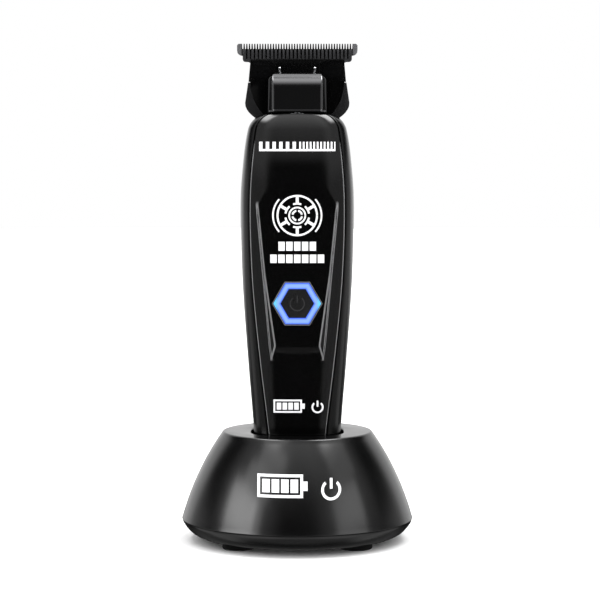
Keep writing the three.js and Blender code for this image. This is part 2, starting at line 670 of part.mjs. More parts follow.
function buildDrive() {
  driveGroup.position.y = DRIVE_Y;
  const casing = cut(rod(MOTOR_RADIUS, MOTOR_BOTTOM, MOTOR_TOP, 0, 0, 32), rod(MOTOR_RADIUS - 0.8, 100, 140, 0, 0, 32));
  add(driveGroup, "motor_case", casing, steel);
  const slots = steps(0, 5, 5).map((k) => {
    const angle = (k * Math.PI) / 3;
    return rod(1.6, 100, 140, 7.1 * Math.cos(angle), 7.1 * Math.sin(angle), 10);
  });
  const stator = cut(rod(MOTOR_RADIUS - 0.95, 109, 133, 0, 0, 32), rod(5.2, 100, 140, 0, 0, 24), ...slots);
  add(driveGroup, "stator", stator, brass);

  const frontCap = cut(
    join(rod(MOTOR_RADIUS, MOTOR_TOP + GAP, 137.2, 0, 0, 32), rod(4.8, 137.1, 139.5, 0, 0, 20)),
    rod(3.15, 136.4, 145, 0, 0, 20),
    rod(1.6, 130, 145, 0, 0, 16),
    ...sides.map((s) => rod(1.0, 136.2, 145, s * MOTOR_SCREW_X, 0, 10)),
  );
  add(driveGroup, "motor_front_cap", frontCap, steel);
  const rearCap = cut(
    join(rod(MOTOR_RADIUS, 105.2, MOTOR_BOTTOM - GAP, 0, 0, 32), rod(4.8, 103.4, 105.3, 0, 0, 20)),
    rod(3.15, 100, 106.0, 0, 0, 20),
    rod(1.6, 100, 110, 0, 0, 16),
  );
  add(driveGroup, "motor_rear_cap", rearCap, steel);
  const bearing = (z0, z1) => cut(rod(3.0, z0, z1, 0, 0, 20), rod(1.25, z0 - 1, z1 + 1, 0, 0, 16));
  add(driveGroup, "front_bearing", bearing(136.5, 139.3), springSteel);
  add(driveGroup, "rear_bearing", bearing(103.5, 105.9), springSteel);

  const rotor = join(rod(SHAFT_RADIUS, 103.2, 148.4, 0, 0, 16), rod(4.6, 110, 132, 0, 0, 24));
  add(driveGroup, "rotor", rotor, blackSteel);
  const weight = cut(rod(4.6, 144.9, 147.4, 0, 0, 24), box(-6, 6, -6, -0.5, 140, 150));
  const cam = cut(
    join(rod(2.9, 144.9, 149.4, 0, 0, 20), weight, rod(CAM_PIN_RADIUS, 149.3, 157.5, 0, -THROW, 16)),
    rod(1.2, 140, 148.6, 0, 0, 20),
  );
  add(driveGroup, "eccentric_cam", cam, springSteel);

  const mount = cut(
    slabZ(roundedRectangle(26, 17, 6), 139.7, 141.7, 4),
    rod(BORE_RADIUS, 130, 150, 0, 0, 24),
    ...sides.map((s) => rod(1.1, 130, 150, s * MOTOR_SCREW_X, 0, 12)),
  );
  add(driveGroup, "motor_mount", mount, blackMetal);
  for (const [name, s] of leftRight) {
    const screw = screwZ(1.7, 1.2, 0.85, 4.8, -s * MOTOR_SCREW_X, 0, -143.0);
    add(driveGroup, `motor_screw_${name}`, screw.rotate([0, 180, 0]), steel);
  }
}

// ---------------------------------------------------------------- blade head

// The flared bracket between housing and blade, with a round pocket in its front
// and a square one behind for the shank of the comb blade.
function bladeHolder() {
  const outline = new THREE.Shape();
  const [bottomZ, wide, low] = [LEDGE_Z + 0.2, 18.2, 9.6];
  outline.moveTo(-low, bottomZ);
  outline.lineTo(low, bottomZ);
  outline.bezierCurveTo(14.2, 147.3, wide + 0.1, 149.6, wide, 153.0);
  outline.lineTo(17.15, HOLDER_TOP);
  outline.lineTo(-17.15, HOLDER_TOP);
  outline.lineTo(-wide, 153.0);
  outline.bezierCurveTo(-wide - 0.1, 149.6, -14.2, 147.3, -low, bottomZ);
  const neckDepth = 8.8 - NECK_FRONT_Y;
  const neck = slabZ(roundedRectangle(23, neckDepth, 3, 0, NECK_FRONT_Y + neckDepth / 2), 141.9, 147.3, 4);
  const webBack = COMB_FRONT_Y - GAP;
  const shankX = SHANK_HALF_WIDTH + 0.2;
  const web = box(-WEB_HALF_WIDTH, WEB_HALF_WIDTH, WEB_FRONT_Y, webBack, HOLDER_TOP - 1, WEB_TOP);
  const frontPocket = pegY(16.4, -5, WEB_FRONT_Y, 0, 160.3, 48);
  const rearPocket = box(-shankX, shankX, webBack, 12, SHANK_BOTTOM - 0.2, 170);
  return cut(
    join(slabY(outline, HOLDER_FRONT_Y, HOLDER_BACK_Y, 8), web, neck),
    frontPocket,
    rearPocket,
    box(-CHANNEL_X, CHANNEL_X, -10, COMB_FRONT_Y, 147.5, 170),
    rod(BORE_RADIUS, 135, 155, 0, DRIVE_Y, 24),
    ...sides.map((s) => rod(2.1, 141, 144.6, s * MOTOR_SCREW_X, DRIVE_Y, 14)), // motor screw heads
    ...sides.map((s) => pegY(1.15, 5.5, 8, s * BLADE_SCREW_X, BLADE_SCREW_Z, 12)),
  );
}

// The wide stationary comb, which lies against the skin with its rear face.
function fixedBlade() {
  const shape = new THREE.Shape();
  const [wingBottom, shankTop, shoulder] = [169.5, 168.2, HOLDER_TOP + 0.3];
  const gapBottom = 171.9;
  const half = COMB_HALF_WIDTH;
  shape.moveTo(-17.1, shoulder);
  shape.lineTo(-SHANK_HALF_WIDTH, shoulder);
  shape.lineTo(-SHANK_HALF_WIDTH, SHANK_BOTTOM);
  shape.lineTo(SHANK_HALF_WIDTH, SHANK_BOTTOM);
  shape.lineTo(SHANK_HALF_WIDTH, shoulder);
  shape.lineTo(17.1, shoulder);
  shape.lineTo(16.5, shankTop - 1.2);
  shape.lineTo(18.6, shankTop);
  shape.lineTo(half - 1.9, wingBottom);
  shape.quadraticCurveTo(half, wingBottom + 0.1, half, wingBottom + 2.0);
  shape.lineTo(half, BLADE_TOP - 0.5);
  shape.lineTo(half - 0.5, BLADE_TOP);
  for (let k = COMB_TEETH; k >= 0; k--) {
    const x = (k - COMB_TEETH / 2) * COMB_PITCH;
    shape.lineTo(x + COMB_GAP / 2 + 0.06, BLADE_TOP);
    shape.lineTo(x + COMB_GAP / 2 - 0.04, gapBottom);
    shape.lineTo(x - COMB_GAP / 2 + 0.04, gapBottom);
    shape.lineTo(x - COMB_GAP / 2 - 0.06, BLADE_TOP);
  }
  shape.lineTo(-half + 0.5, BLADE_TOP);
  shape.lineTo(-half, BLADE_TOP - 0.5);
  shape.lineTo(-half, wingBottom + 2.0);
  shape.quadraticCurveTo(-half, wingBottom + 0.1, -half + 1.9, wingBottom);
  shape.lineTo(-18.6, shankTop);
  shape.lineTo(-16.5, shankTop - 1.2);
  const back = COMB_FRONT_Y + COMB_THICKNESS;
  const bevel = slabX([[back + 0.1, 167.6], [back + 0.1, 174], [7.6, 174]], -30, 30);
  return cut(
    slabY(shape, COMB_FRONT_Y, back, 4),
    bevel,
    ...sides.map((s) => pegY(1.25, 5, 12, s * BLADE_SCREW_X, BLADE_SCREW_Z, 12)),
    ...sides.map((s) => pegY(2.35, 7.9, 12, s * BLADE_SCREW_X, BLADE_SCREW_Z, 16)),
  );
}

// The narrower cutter that slides on the comb's front face.
function movingCutter() {
  const shape = new THREE.Shape();
  const [barBottom, gapBottom, tongue, tongueBottom] = [167.3, 168.4, 7.9, 156.5];
  const half = CUTTER_HALF_WIDTH;
  shape.moveTo(-tongue, tongueBottom);
  shape.lineTo(tongue, tongueBottom);
  shape.lineTo(tongue, barBottom - 0.6);
  shape.lineTo(tongue + 2.2, barBottom + 0.6);
  shape.lineTo(half - 3.0, barBottom + 0.6);
  shape.lineTo(half - 2.6, barBottom);
  shape.lineTo(half - 1.2, barBottom);
  shape.quadraticCurveTo(half, barBottom, half, barBottom + 1.2);
  shape.lineTo(half, CUTTER_TOP);
  for (let k = CUTTER_TEETH - 1; k >= 1; k--) {
    const x = (k - CUTTER_TEETH / 2) * CUTTER_PITCH;
    shape.lineTo(x + CUTTER_GAP / 2 + 0.08, CUTTER_TOP);
    shape.lineTo(x + CUTTER_GAP / 2 - 0.05, gapBottom);
    shape.lineTo(x - CUTTER_GAP / 2 + 0.05, gapBottom);
    shape.lineTo(x - CUTTER_GAP / 2 - 0.08, CUTTER_TOP);
  }
  shape.lineTo(-half, CUTTER_TOP);
  shape.lineTo(-half, barBottom + 1.2);
  shape.quadraticCurveTo(-half, barBottom, -half + 1.2, barBottom);
  shape.lineTo(-half + 2.6, barBottom);
  shape.lineTo(-half + 3.0, barBottom + 0.6);
  shape.lineTo(-tongue - 2.2, barBottom + 0.6);
  shape.lineTo(-tongue, barBottom - 0.6);
  const front = CUTTER_FRONT_Y;
  const bevel = slabX([[front - 0.1, 169.6], [front + 0.55, 172], [front - 0.1, 172]], -30, 30);
  return cut(slabY(shape, front, front + CUTTER_THICKNESS, 4), bevel);
}

// The plastic follower on the cutter. The pin's slot is wide enough to clear the pin in every
// position of both joints; in use it would grip the pin and turn its circle into a stroke.
function cutterGuide() {
  const back = CUTTER_FRONT_Y - GAP;
  const slotX = CAM_PIN_RADIUS + 2 * THROW + 0.15;
  const slotY = CAM_PIN_RADIUS + THROW + 0.3;
  const ribs = [-7.5, -4.95, 4.95, 7.5].map((x) => box(x - 0.2, x + 0.2, 0.9, 2.4, 163.9, 166.7));
  return cut(
    join(
      slabY(roundedRectangle(15.5, 4.4, 0.9, 0, 164.9), 2.3, back, 3),
      box(-5.2, 5.2, 3.6, back, 155, 163.5),
      box(-5.2, 5.2, DRIVE_Y - slotY - 1.6, back, 153, 158),
      ...ribs,
    ),
    box(-slotX, slotX, DRIVE_Y - slotY, DRIVE_Y + slotY, 150, 160),
  );
}

// Formed wire that presses the follower and cutter against the comb, with a ball on each arm.
function tensionSpring() {
  const [x, y, low, high] = [6.1, 1.65, 162.95, 164.9];
  const corner = 0.9;
  const points = [
    [-x, high],
    [-x, low + corner],
    [-x + corner * 0.3, low + corner * 0.3],
    [-x + corner, low],
    [x - corner, low],
    [x - corner * 0.3, low + corner * 0.3],
    [x, low + corner],
    [x, high],
  ].map(([px, pz]) => new THREE.Vector3(px, y, pz));
  const ball = (px) => solid(new THREE.SphereGeometry(0.65, 12, 8).translate(px, y - 0.1, high));
  return join(tube(points, 0.4, 8, 22), ball(-x), ball(x));
}

// The shiny cap in front of the cam: a raised box with a round top edge and sloping sides, on a wider skirt.
function driveCover() {
  const [bottom, top, skirtTop] = [149.75, 163.3, 162.25];
  const [front, back, roll] = [-6.6, -0.4, 5.6];
  const [frontHalf, backHalf, topHalf] = [7.9, 8.9, 8.0];
  const side = [[back, bottom], [back, top], [front + roll, top]];
  for (const t of steps(0, 1, 6).slice(1)) {
    const angle = (t * Math.PI) / 2;
    side.push([front + roll - roll * Math.sin(angle), top - roll + roll * Math.cos(angle)]);
  }
  side.push([front, bottom]);
  const plan = new THREE.Shape();
  plan.moveTo(-backHalf, back);
  plan.lineTo(-frontHalf - 0.1, front + 0.6);
  plan.quadraticCurveTo(-frontHalf, front, -frontHalf + 0.6, front);
  plan.lineTo(frontHalf - 0.6, front);
  plan.quadraticCurveTo(frontHalf, front, frontHalf + 0.1, front + 0.6);
  plan.lineTo(backHalf, back);
  const outline = new THREE.Shape();
  outline.moveTo(-backHalf, bottom);
  outline.lineTo(backHalf, bottom);
  outline.lineTo(backHalf, top - 3);
  outline.quadraticCurveTo(backHalf - 0.1, top - 1, topHalf, top);
  outline.lineTo(-topHalf, top);
  outline.quadraticCurveTo(-backHalf + 0.1, top - 1, -backHalf, top - 3);
  const raised = slabX(side, -backHalf, backHalf)
    .intersect(slabZ(plan, bottom, top, 3))
    .intersect(slabY(outline, front, back, 3));
  const lip = slabZ(roundedRectangle(19.8, 12, 2.2, 0, front + 5.5), bottom, bottom + 0.8, 5);
  const skirtShape = new THREE.Shape();
  skirtShape.moveTo(-10.2, bottom);
  skirtShape.lineTo(10.2, bottom);
  skirtShape.lineTo(10.1, skirtTop - 1.6);
  skirtShape.quadraticCurveTo(10.0, skirtTop, 8.8, skirtTop);
  skirtShape.lineTo(-8.8, skirtTop);
  skirtShape.quadraticCurveTo(-10.0, skirtTop, -10.1, skirtTop - 1.6);
  return cut(
    join(raised, lip, slabY(skirtShape, -0.5, WEB_FRONT_Y - 0.15, 4)),
    box(-6.7, 6.7, front + 1.4, 0.6, 149, 159.6),
    box(-6.7, 6.7, -3.9, 0.6, 149, 161.9),
    box(-9.3, 9.3, 0.5, 7, 149, 170),
  );
}

function buildBlade() {
  add(bladeGroup, "blade_holder", bladeHolder(), blackMetal);
  add(bladeGroup, "fixed_blade", fixedBlade(), blackSteel);
  for (const [name, s] of leftRight)
    add(bladeGroup, `blade_screw_${name}`, screwY(2.2, 0.9, 1.0, 2.2, s * BLADE_SCREW_X, BLADE_SCREW_Z, 8.0), blackSteel);
  add(bladeGroup, "moving_cutter", movingCutter(), blackSteel);
  add(bladeGroup, "cutter_guide", cutterGuide(), mattBlack);
  add(bladeGroup, "tension_spring", tensionSpring(), springSteel);
  add(bladeGroup, "drive_cover", driveCover(), glossBlack);
}

buildBase();
buildHandle();
buildDrive();
buildBlade();

export default clipper;
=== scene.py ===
"""Looks of a cordless hair clipper that stands in its round charging base.

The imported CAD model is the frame: metres, +Z up, power button towards -Y, origin on the floor at the
centre of the base. Shapes below are worked out in millimetres and become metres in mesh_object().
"""

import json
import math

import bmesh
import bpy
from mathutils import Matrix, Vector

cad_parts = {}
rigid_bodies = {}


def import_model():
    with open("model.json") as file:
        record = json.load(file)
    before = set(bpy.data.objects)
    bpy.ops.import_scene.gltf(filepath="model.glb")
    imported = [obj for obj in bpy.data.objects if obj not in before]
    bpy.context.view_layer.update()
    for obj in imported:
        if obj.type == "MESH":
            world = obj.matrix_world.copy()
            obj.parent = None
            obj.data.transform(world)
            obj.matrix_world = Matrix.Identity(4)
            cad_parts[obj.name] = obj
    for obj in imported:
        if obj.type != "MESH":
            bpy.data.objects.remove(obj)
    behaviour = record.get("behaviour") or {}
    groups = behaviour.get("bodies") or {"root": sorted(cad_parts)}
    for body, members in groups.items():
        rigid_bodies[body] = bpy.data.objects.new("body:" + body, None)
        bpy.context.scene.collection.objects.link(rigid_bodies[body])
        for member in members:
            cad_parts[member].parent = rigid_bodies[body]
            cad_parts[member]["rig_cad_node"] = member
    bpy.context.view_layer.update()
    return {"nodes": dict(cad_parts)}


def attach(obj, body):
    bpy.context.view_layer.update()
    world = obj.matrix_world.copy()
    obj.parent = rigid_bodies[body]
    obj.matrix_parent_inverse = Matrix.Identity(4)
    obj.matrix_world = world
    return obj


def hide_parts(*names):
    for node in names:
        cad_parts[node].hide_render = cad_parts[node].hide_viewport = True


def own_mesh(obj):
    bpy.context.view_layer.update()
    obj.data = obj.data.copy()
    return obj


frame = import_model()

MM = 0.001

# ------------ driving dimensions, in mm

# Charging base
SEAM_Z = 7.5
BASE_RADIUS = 40.5
RIM_Z = 38.4
RIM_RADIUS = 26.3
BASE_WALL = 2.4
SOCKET_GAP = 1.0
INLET_Z = 13.0
PAN_FLOOR_Z = 2.1
PAN_WALL = 2.0
FOOT_PLACE = 20.2  # of each foot and base screw, in x and y
STANDOFF_X = 12.0
CONTACT_X = 4.5
SPRING_FOOT_Z = 8.3

# Handle: height, half width, front depth, rear depth, half width of the front cover
HANDLE_FORM = [
    [14, 14.4, 13.2, 13.0, 8.2],
    [38, 15.2, 14.1, 14.2, 9.9],
    [63, 17.15, 15.6, 15.8, 12.8],
    [88, 18.95, 16.7, 16.8, 15.3],
    [106, 19.6, 17.0, 17.0, 16.2],
    [120, 19.7, 16.6, 16.8, 16.3],
    [131, 18.95, 14.9, 16.2, 15.7],
    [140.5, 17.8, 11.6, 15.2, 14.6],
    [149.2, 15.9, 8.2, 13.6, 13.3],
]
WIDTH, FRONT, REAR, COVER = 1, 2, 3, 4
CAP_TOP = 17.4
SHOULDER_Z = 143.8
HANDLE_TOP = 149.2
TOP_INSET_X = 5.0
TOP_INSET_Y = 1.0
FRONT_POWER = 3.4
REAR_POWER = 2.6
WALL = 2.4
SEAM = 0.3
SEAM_RADIUS = 0.45
COVER_BACK_Y = -6.0
COVER_WALL = 2.2
COVER_THIN_WALL = 0.8
COVER_TAPER_Z = 132  # above it the front cover gets thinner, so that its back keeps clear
LEDGE_Z = 144.3
LEDGE_FRONT_Y = -2.5
SCREW_BORES = ((8.2, 8.8, 21.6), (13.0, 11.2, 100.5))  # x, y of the seat and z, one pair each
SCREW_BORE_RADIUS = 2.8

# Thumb recess, right half: height, floor half width, floor depth y, rim half width
RECESS = [
    [65.9, 8.7, -15.75, 9.0],
    [69.5, 7.65, -14.45, 9.5],
    [94.5, 11.25, -14.9, 11.75],
    [118.3, 13.6, -15.35, 13.9],
    [131.5, 10.5, -17.0, 12.0],
]

# Power button; the radii go to the corners of the hexagons
BUTTON_Z = 84.1
BUTTON_FACE_Y = -15.0
HOLE_RADIUS = 8.75
RING_INNER_RADIUS = 5.8
RING_OUTER_RADIUS = 8.17
FLAT_SHARE = 0.866  # a hexagon's reach across its flats, as a share of its corner radius

# Drive cover
DRIVE_BOTTOM_Z = 149.75
DRIVE_TOP_Z = 163.3
DRIVE_SKIRT_TOP_Z = 162.25
DRIVE_FRONT_Y = -6.6
DRIVE_BACK_Y = -0.4
DRIVE_ROLL = 5.6

# Printed marks: how far the ink stands above the skin and reaches below it
INK_ABOVE = 0.03
INK_BELOW = 0.04

# ------------ small helpers


def lerp(a, b, t):
    return a + (b - a) * t


def clamp(value, low, high):
    return max(low, min(high, value))


def steps(start, end, count):
    """count + 1 values from start to end."""
    return [lerp(start, end, i / count) for i in range(count + 1)]


def bend(a, b, c, count):
    """count + 1 points of a curve from a to c that is drawn towards b."""
    points = []
    for t in steps(0, 1, count):
        points.append(tuple((1 - t) ** 2 * a[i] + 2 * t * (1 - t) * b[i] + t * t * c[i] for i in (0, 1)))
    return points


def soft_max(a, b, reach):
    """The larger of two numbers, with the corner between them rounded over reach."""
    h = max(reach - abs(a - b), 0.0) / reach
    return max(a, b) + h * h * reach / 4


def mesh_object(name, points, faces):
    """A mesh object from points in millimetres."""
    mesh = bpy.data.meshes.new(name)
    mesh.from_pydata([(x * MM, y * MM, z * MM) for x, y, z in points], [], faces)
    mesh.validate()
    obj = bpy.data.objects.new(name, mesh)
    bpy.context.scene.collection.objects.link(obj)
    return obj


def tidy(obj, sharp_degrees=32, merge=0.0):
    """Faces point out and shade smooth, apart from edges sharper than the angle."""
    bm = bmesh.new()
    bm.from_mesh(obj.data)
    if merge:
        bmesh.ops.remove_doubles(bm, verts=bm.verts, dist=merge * MM)
    bmesh.ops.recalc_face_normals(bm, faces=bm.faces)
    limit = math.radians(sharp_degrees)
    for face in bm.faces:
        face.smooth = True
    for edge in bm.edges:
        if len(edge.link_faces) == 2:
            edge.smooth = edge.calc_face_angle(0.0) < limit
    bm.to_mesh(obj.data)
    bm.free()
    return obj


def loft(name, rings):
    """A closed solid through rings of points, which all have the same number of points."""
    count = len(rings[0])
    points = [p for ring in rings for p in ring]
    faces = []
    for i in range(len(rings) - 1):
        for k in range(count):
            a, b = i * count + k, i * count + (k + 1) % count
            faces.append((a, b, b + count, a + count))
    faces.append(tuple(reversed(range(count))))
    faces.append(tuple(range((len(rings) - 1) * count, len(rings) * count)))
    return mesh_object(name, points, faces)


def turned(name, profile, count=160):
    """A closed solid of revolution about Z through a closed profile of (radius, z)."""
    points, rows = [], []
    for radius, z in profile:
        if radius < 1e-6:
            rows.append([len(points)] * count)
            points.append((0, 0, z))
            continue
        rows.append([len(points) + k for k in range(count)])
        for k in range(count):
            angle = 2 * math.pi * k / count
            points.append((radius * math.cos(angle), radius * math.sin(angle), z))
    faces = []
    for row, following in zip(rows, rows[1:] + rows[:1]):
        for k in range(count):
            corners = [row[k], row[(k + 1) % count], following[(k + 1) % count], following[k]]
            face = tuple(dict.fromkeys(corners))
            if len(face) > 2:
                faces.append(face)
    return tidy(mesh_object(name, points, faces))


def box(name, x0, x1, y0, y1, z0, z1):
    corners = [(x0, y0), (x1, y0), (x1, y1), (x0, y1)]
    return loft(name, [[(x, y, z) for x, y in corners] for z in (z0, z1)])


def rounded(width, height, radius, cx=0.0, cy=0.0):
    """Corner-rounded rectangle as a list of points, anticlockwise."""
    points = []
    for sx, sy, start in ((1, 1, 0), (-1, 1, 90), (-1, -1, 180), (1, -1, 270)):
        for degrees in steps(start, start + 90, 8):
            angle = math.radians(degrees)
            x = cx + sx * (width / 2 - radius) + radius * math.cos(angle)
            y = cy + sy * (height / 2 - radius) + radius * math.sin(angle)
            points.append((x, y))
    return points


def disc(x, y, z, radius, count):
    """A level circle of points."""
    angles = [2 * math.pi * k / count for k in range(count)]
    return [(x + radius * math.cos(a), y + radius * math.sin(a), z) for a in angles]


def peg_y(name, radius, y0, y1, x, z, count=48):
    """A round rod along Y."""
    rings = []
    for y in (y0, y1):
        rings.append([(px, y, pz) for px, pz, _ in disc(x, z, 0, radius, count)])
    return loft(name, rings)


def boolean(obj, operation, *tools):
    """Joins or cuts obj with the tools, which are removed."""
    for tool in tools:
        modifier = obj.modifiers.new("cut", "BOOLEAN")
        modifier.operation = operation
        modifier.solver = "MANIFOLD"
        modifier.object = tool
        for solid in (obj, tool):
            bm = bmesh.new()
            bm.from_mesh(solid.data)
            bmesh.ops.recalc_face_normals(bm, faces=bm.faces)
            bm.to_mesh(solid.data)
            bm.free()
        depsgraph = bpy.context.evaluated_depsgraph_get()
        result = bpy.data.meshes.new_from_object(obj.evaluated_get(depsgraph))
        obj.modifiers.remove(modifier)
        obj.data = result
        bpy.data.objects.remove(tool)
    return obj


# ------------ handle form


def form(column, z):
    """A smooth curve through one column of HANDLE_FORM."""
    rows = HANDLE_FORM
    k = max([i for i in range(len(rows) - 1) if rows[i][0] <= z], default=0)

    def slope(j):
        low, high = rows[max(j - 1, 0)], rows[min(j + 1, len(rows) - 1)]
        return (high[column] - low[column]) / (high[0] - low[0])

    a, b = rows[k], rows[k + 1]
    length = b[0] - a[0]
    t = (z - a[0]) / length
    return (
        a[column] * (2 * t**3 - 3 * t**2 + 1)
        + b[column] * (3 * t**2 - 2 * t**3)
        + length * slope(k) * (t**3 - 2 * t**2 + t)
        + length * slope(k + 1) * (t**3 - t**2)
    )


def top_inset(z):
    """Share of the round top's inset: 0 at the shoulder, 1 at the very top."""
    t = clamp((z - SHOULDER_Z) / (HANDLE_TOP - SHOULDER_Z), 0, 1)
    return 1 - math.sqrt(1 - t * t)


def half_width(z):
    return form(WIDTH, z) - TOP_INSET_X * top_inset(z)


def cover_half(z):
    return form(COVER, z) - TOP_INSET_X * top_inset(z)


def front_y(x, z, grow=0.0):
    """y of the front skin at x and z."""
    a = half_width(z) + grow
    depth = form(FRONT, z) - TOP_INSET_Y * top_inset(z) + grow
    u = min(abs(x) / a, 1.0)
    return -depth * (1 - u**FRONT_POWER) ** (1 / FRONT_POWER)


def section(z, grow=0.0, count=160):
    """The handle's cross section at height z, grown outwards."""
    a = half_width(z) + grow
    depths = [form(column, z) - TOP_INSET_Y * top_inset(z) + grow for column in (FRONT, REAR)]
    points = []
    for i in range(count):
        angle = 2 * math.pi * (i + 0.5) / count
        c, s = math.cos(angle), math.sin(angle)
        front = s < 0
        power = 2 / (FRONT_POWER if front else REAR_POWER)
        x = math.copysign(a * abs(c) ** power, c)
        y = math.copysign(depths[0 if front else 1] * abs(s) ** power, s)
        points.append((x, y, z))
    return points


def handle_heights(count, top_count):
    """Heights for fine lofts: even up to the shoulder, then closer over the round top."""
    low = steps(CAP_TOP + 0.1, SHOULDER_Z, count)
    rise = HANDLE_TOP - SHOULDER_Z
    top = [SHOULDER_Z + rise * math.sin(t * math.pi / 2) for t in steps(0, 1, top_count)]
    return low + top[1:]


def recess_row(z):
    """Floor half width, floor y and rim half width of the thumb recess at height z."""
    z = clamp(z, RECESS[0][0] - 4, RECESS[-1][0])
    k = max([i for i in range(len(RECESS) - 1) if RECESS[i][0] <= z], default=0)
    a, b = RECESS[k], RECESS[k + 1]
    t = (z - a[0]) / (b[0] - a[0])
    return [lerp(a[i], b[i], t) for i in (1, 2, 3)]


def panel_y(x, z):
    """y of the glossy front cover's skin, with the thumb recess sunk into it."""
    skin = front_y(x, z)
    if not RECESS[0][0] - 2 < z < RECESS[-1][0]:
        return skin
    floor_x, floor_y, rim_x = recess_row(z)
    rim_y = front_y(min(rim_x, cover_half(z)), z) - 0.05
    rise = min(rim_y - floor_y, -0.05)
    wall = floor_y + (abs(x) - floor_x) / (rim_x - floor_x) * rise
    sunk = -soft_max(-floor_y, -wall, 0.35)
    return soft_max(skin, sunk, 0.35)


# ------------ fine shells


def cover_back(x, z):
    """y of the front cover's inner face."""
    y = front_y(x, z)
    if z < COVER_TAPER_Z:
        return y + COVER_WALL
    return y + clamp(COVER_BACK_Y - y, COVER_THIN_WALL, COVER_WALL)


def front_panel():
    """Glossy front cover: a grid whose lines follow the recess, with rounded seam edges."""
    fillet = SEAM_RADIUS
    rings = []
    for z in handle_heights(300, 24):
        edge = cover_half(z) - fillet
        floor_x, _, rim_x = recess_row(z)
        floor_x, rim_x = min(floor_x, edge - 1.6), min(rim_x, edge - 0.6)
        crest = max(rim_x - 0.4, floor_x + 0.5)
        right = (
            steps(0, floor_x - 0.5, 20)[:-1]
            + steps(floor_x - 0.5, floor_x + 0.4, 6)[:-1]
            + steps(floor_x + 0.4, crest, 4)[:-1]
            + steps(crest, rim_x + 0.5, 7)[:-1]
            + steps(rim_x + 0.5, edge, 6)
        )
        half = [(x, panel_y(x, z)) for x in right]
        end_y = front_y(edge, z)
        for k in range(1, 6):
            angle = math.radians(18 * k)
            y = end_y + fillet * (1 - math.cos(angle)) + 0.25 * fillet * k / 5
            half.append((edge + fillet * math.sin(angle), y))
        half.append((half[-1][0], cover_back(edge, z) + 0.3))
        half += [(x, cover_back(x, z)) for x in reversed(steps(0, edge - 0.4, 10))]
        ring = [(x, y, z) for x, y in half]
        ring += [(-x, y, z) for x, y in reversed(half[1:-1])]
        rings.append(ring)
    obj = loft("front_panel", rings)
    # The button's hole, wider in front of the skin
    rings = []
    for radius, depth in ((HOLE_RADIUS + 2.1, -2.0), (HOLE_RADIUS, 0.1), (HOLE_RADIUS, 6.0)):
        rings.append([(x, panel_y(0, z) + depth, z) for x, z in hexagon(radius)])
    boolean(obj, "DIFFERENCE", loft("hole", rings))
    tidy(obj, 35)
    # where the painted highlight lines go: the seam and the recess crests
    mark_painted_highlights(obj)
    return obj


def mark_painted_highlights(obj):
    """Writes the "edge" attribute for the painted highlight lines: 1 on the crests of the recess and along
    the seam edge, else 0.
    """
    low, high = RECESS[0][0] - 1.5, RECESS[-2][0] + 1
    seam_width, seam_blur = 0.12, 0.22
    seam_fade_z, seam_fade = 132, 8
    values = []
    for vertex in obj.data.vertices:
        x, z = vertex.co.x / MM, vertex.co.z / MM
        seam = 1 - clamp((cover_half(z) - abs(x) - seam_width) / seam_blur, 0, 1)
        seam *= 1 - clamp((z - seam_fade_z) / seam_fade, 0, 1)
        crest = 0.0
        if low < z < high:
            floor_x, _, rim_x = recess_row(z)
            width = 0.25 + 0.1 * clamp((z - 80) / 30, 0, 1)
            rim = 1 - clamp(abs(abs(x) - rim_x + 0.05) / width - 0.35, 0, 1)
            foot = 1 - clamp(abs(abs(x) - floor_x) / 0.24 - 0.3, 0, 1)
            fade = clamp((z - low) / 1.5, 0, 1) * clamp((high - z) / 3, 0, 1)
            crest = max(rim, 0.7 * foot) * fade
        values.append(clamp(max(seam, crest), 0, 1))
    attribute = obj.data.attributes.new("edge", "FLOAT", "POINT")
    attribute.data.foreach_set("value", values)


def hexagon(radius):
    """Corners of a hexagon round the button's centre, as (x, z)."""
    angles = [math.radians(60 * k) for k in range(6)]
    return [(radius * math.cos(a), BUTTON_Z + radius * math.sin(a)) for a in angles]


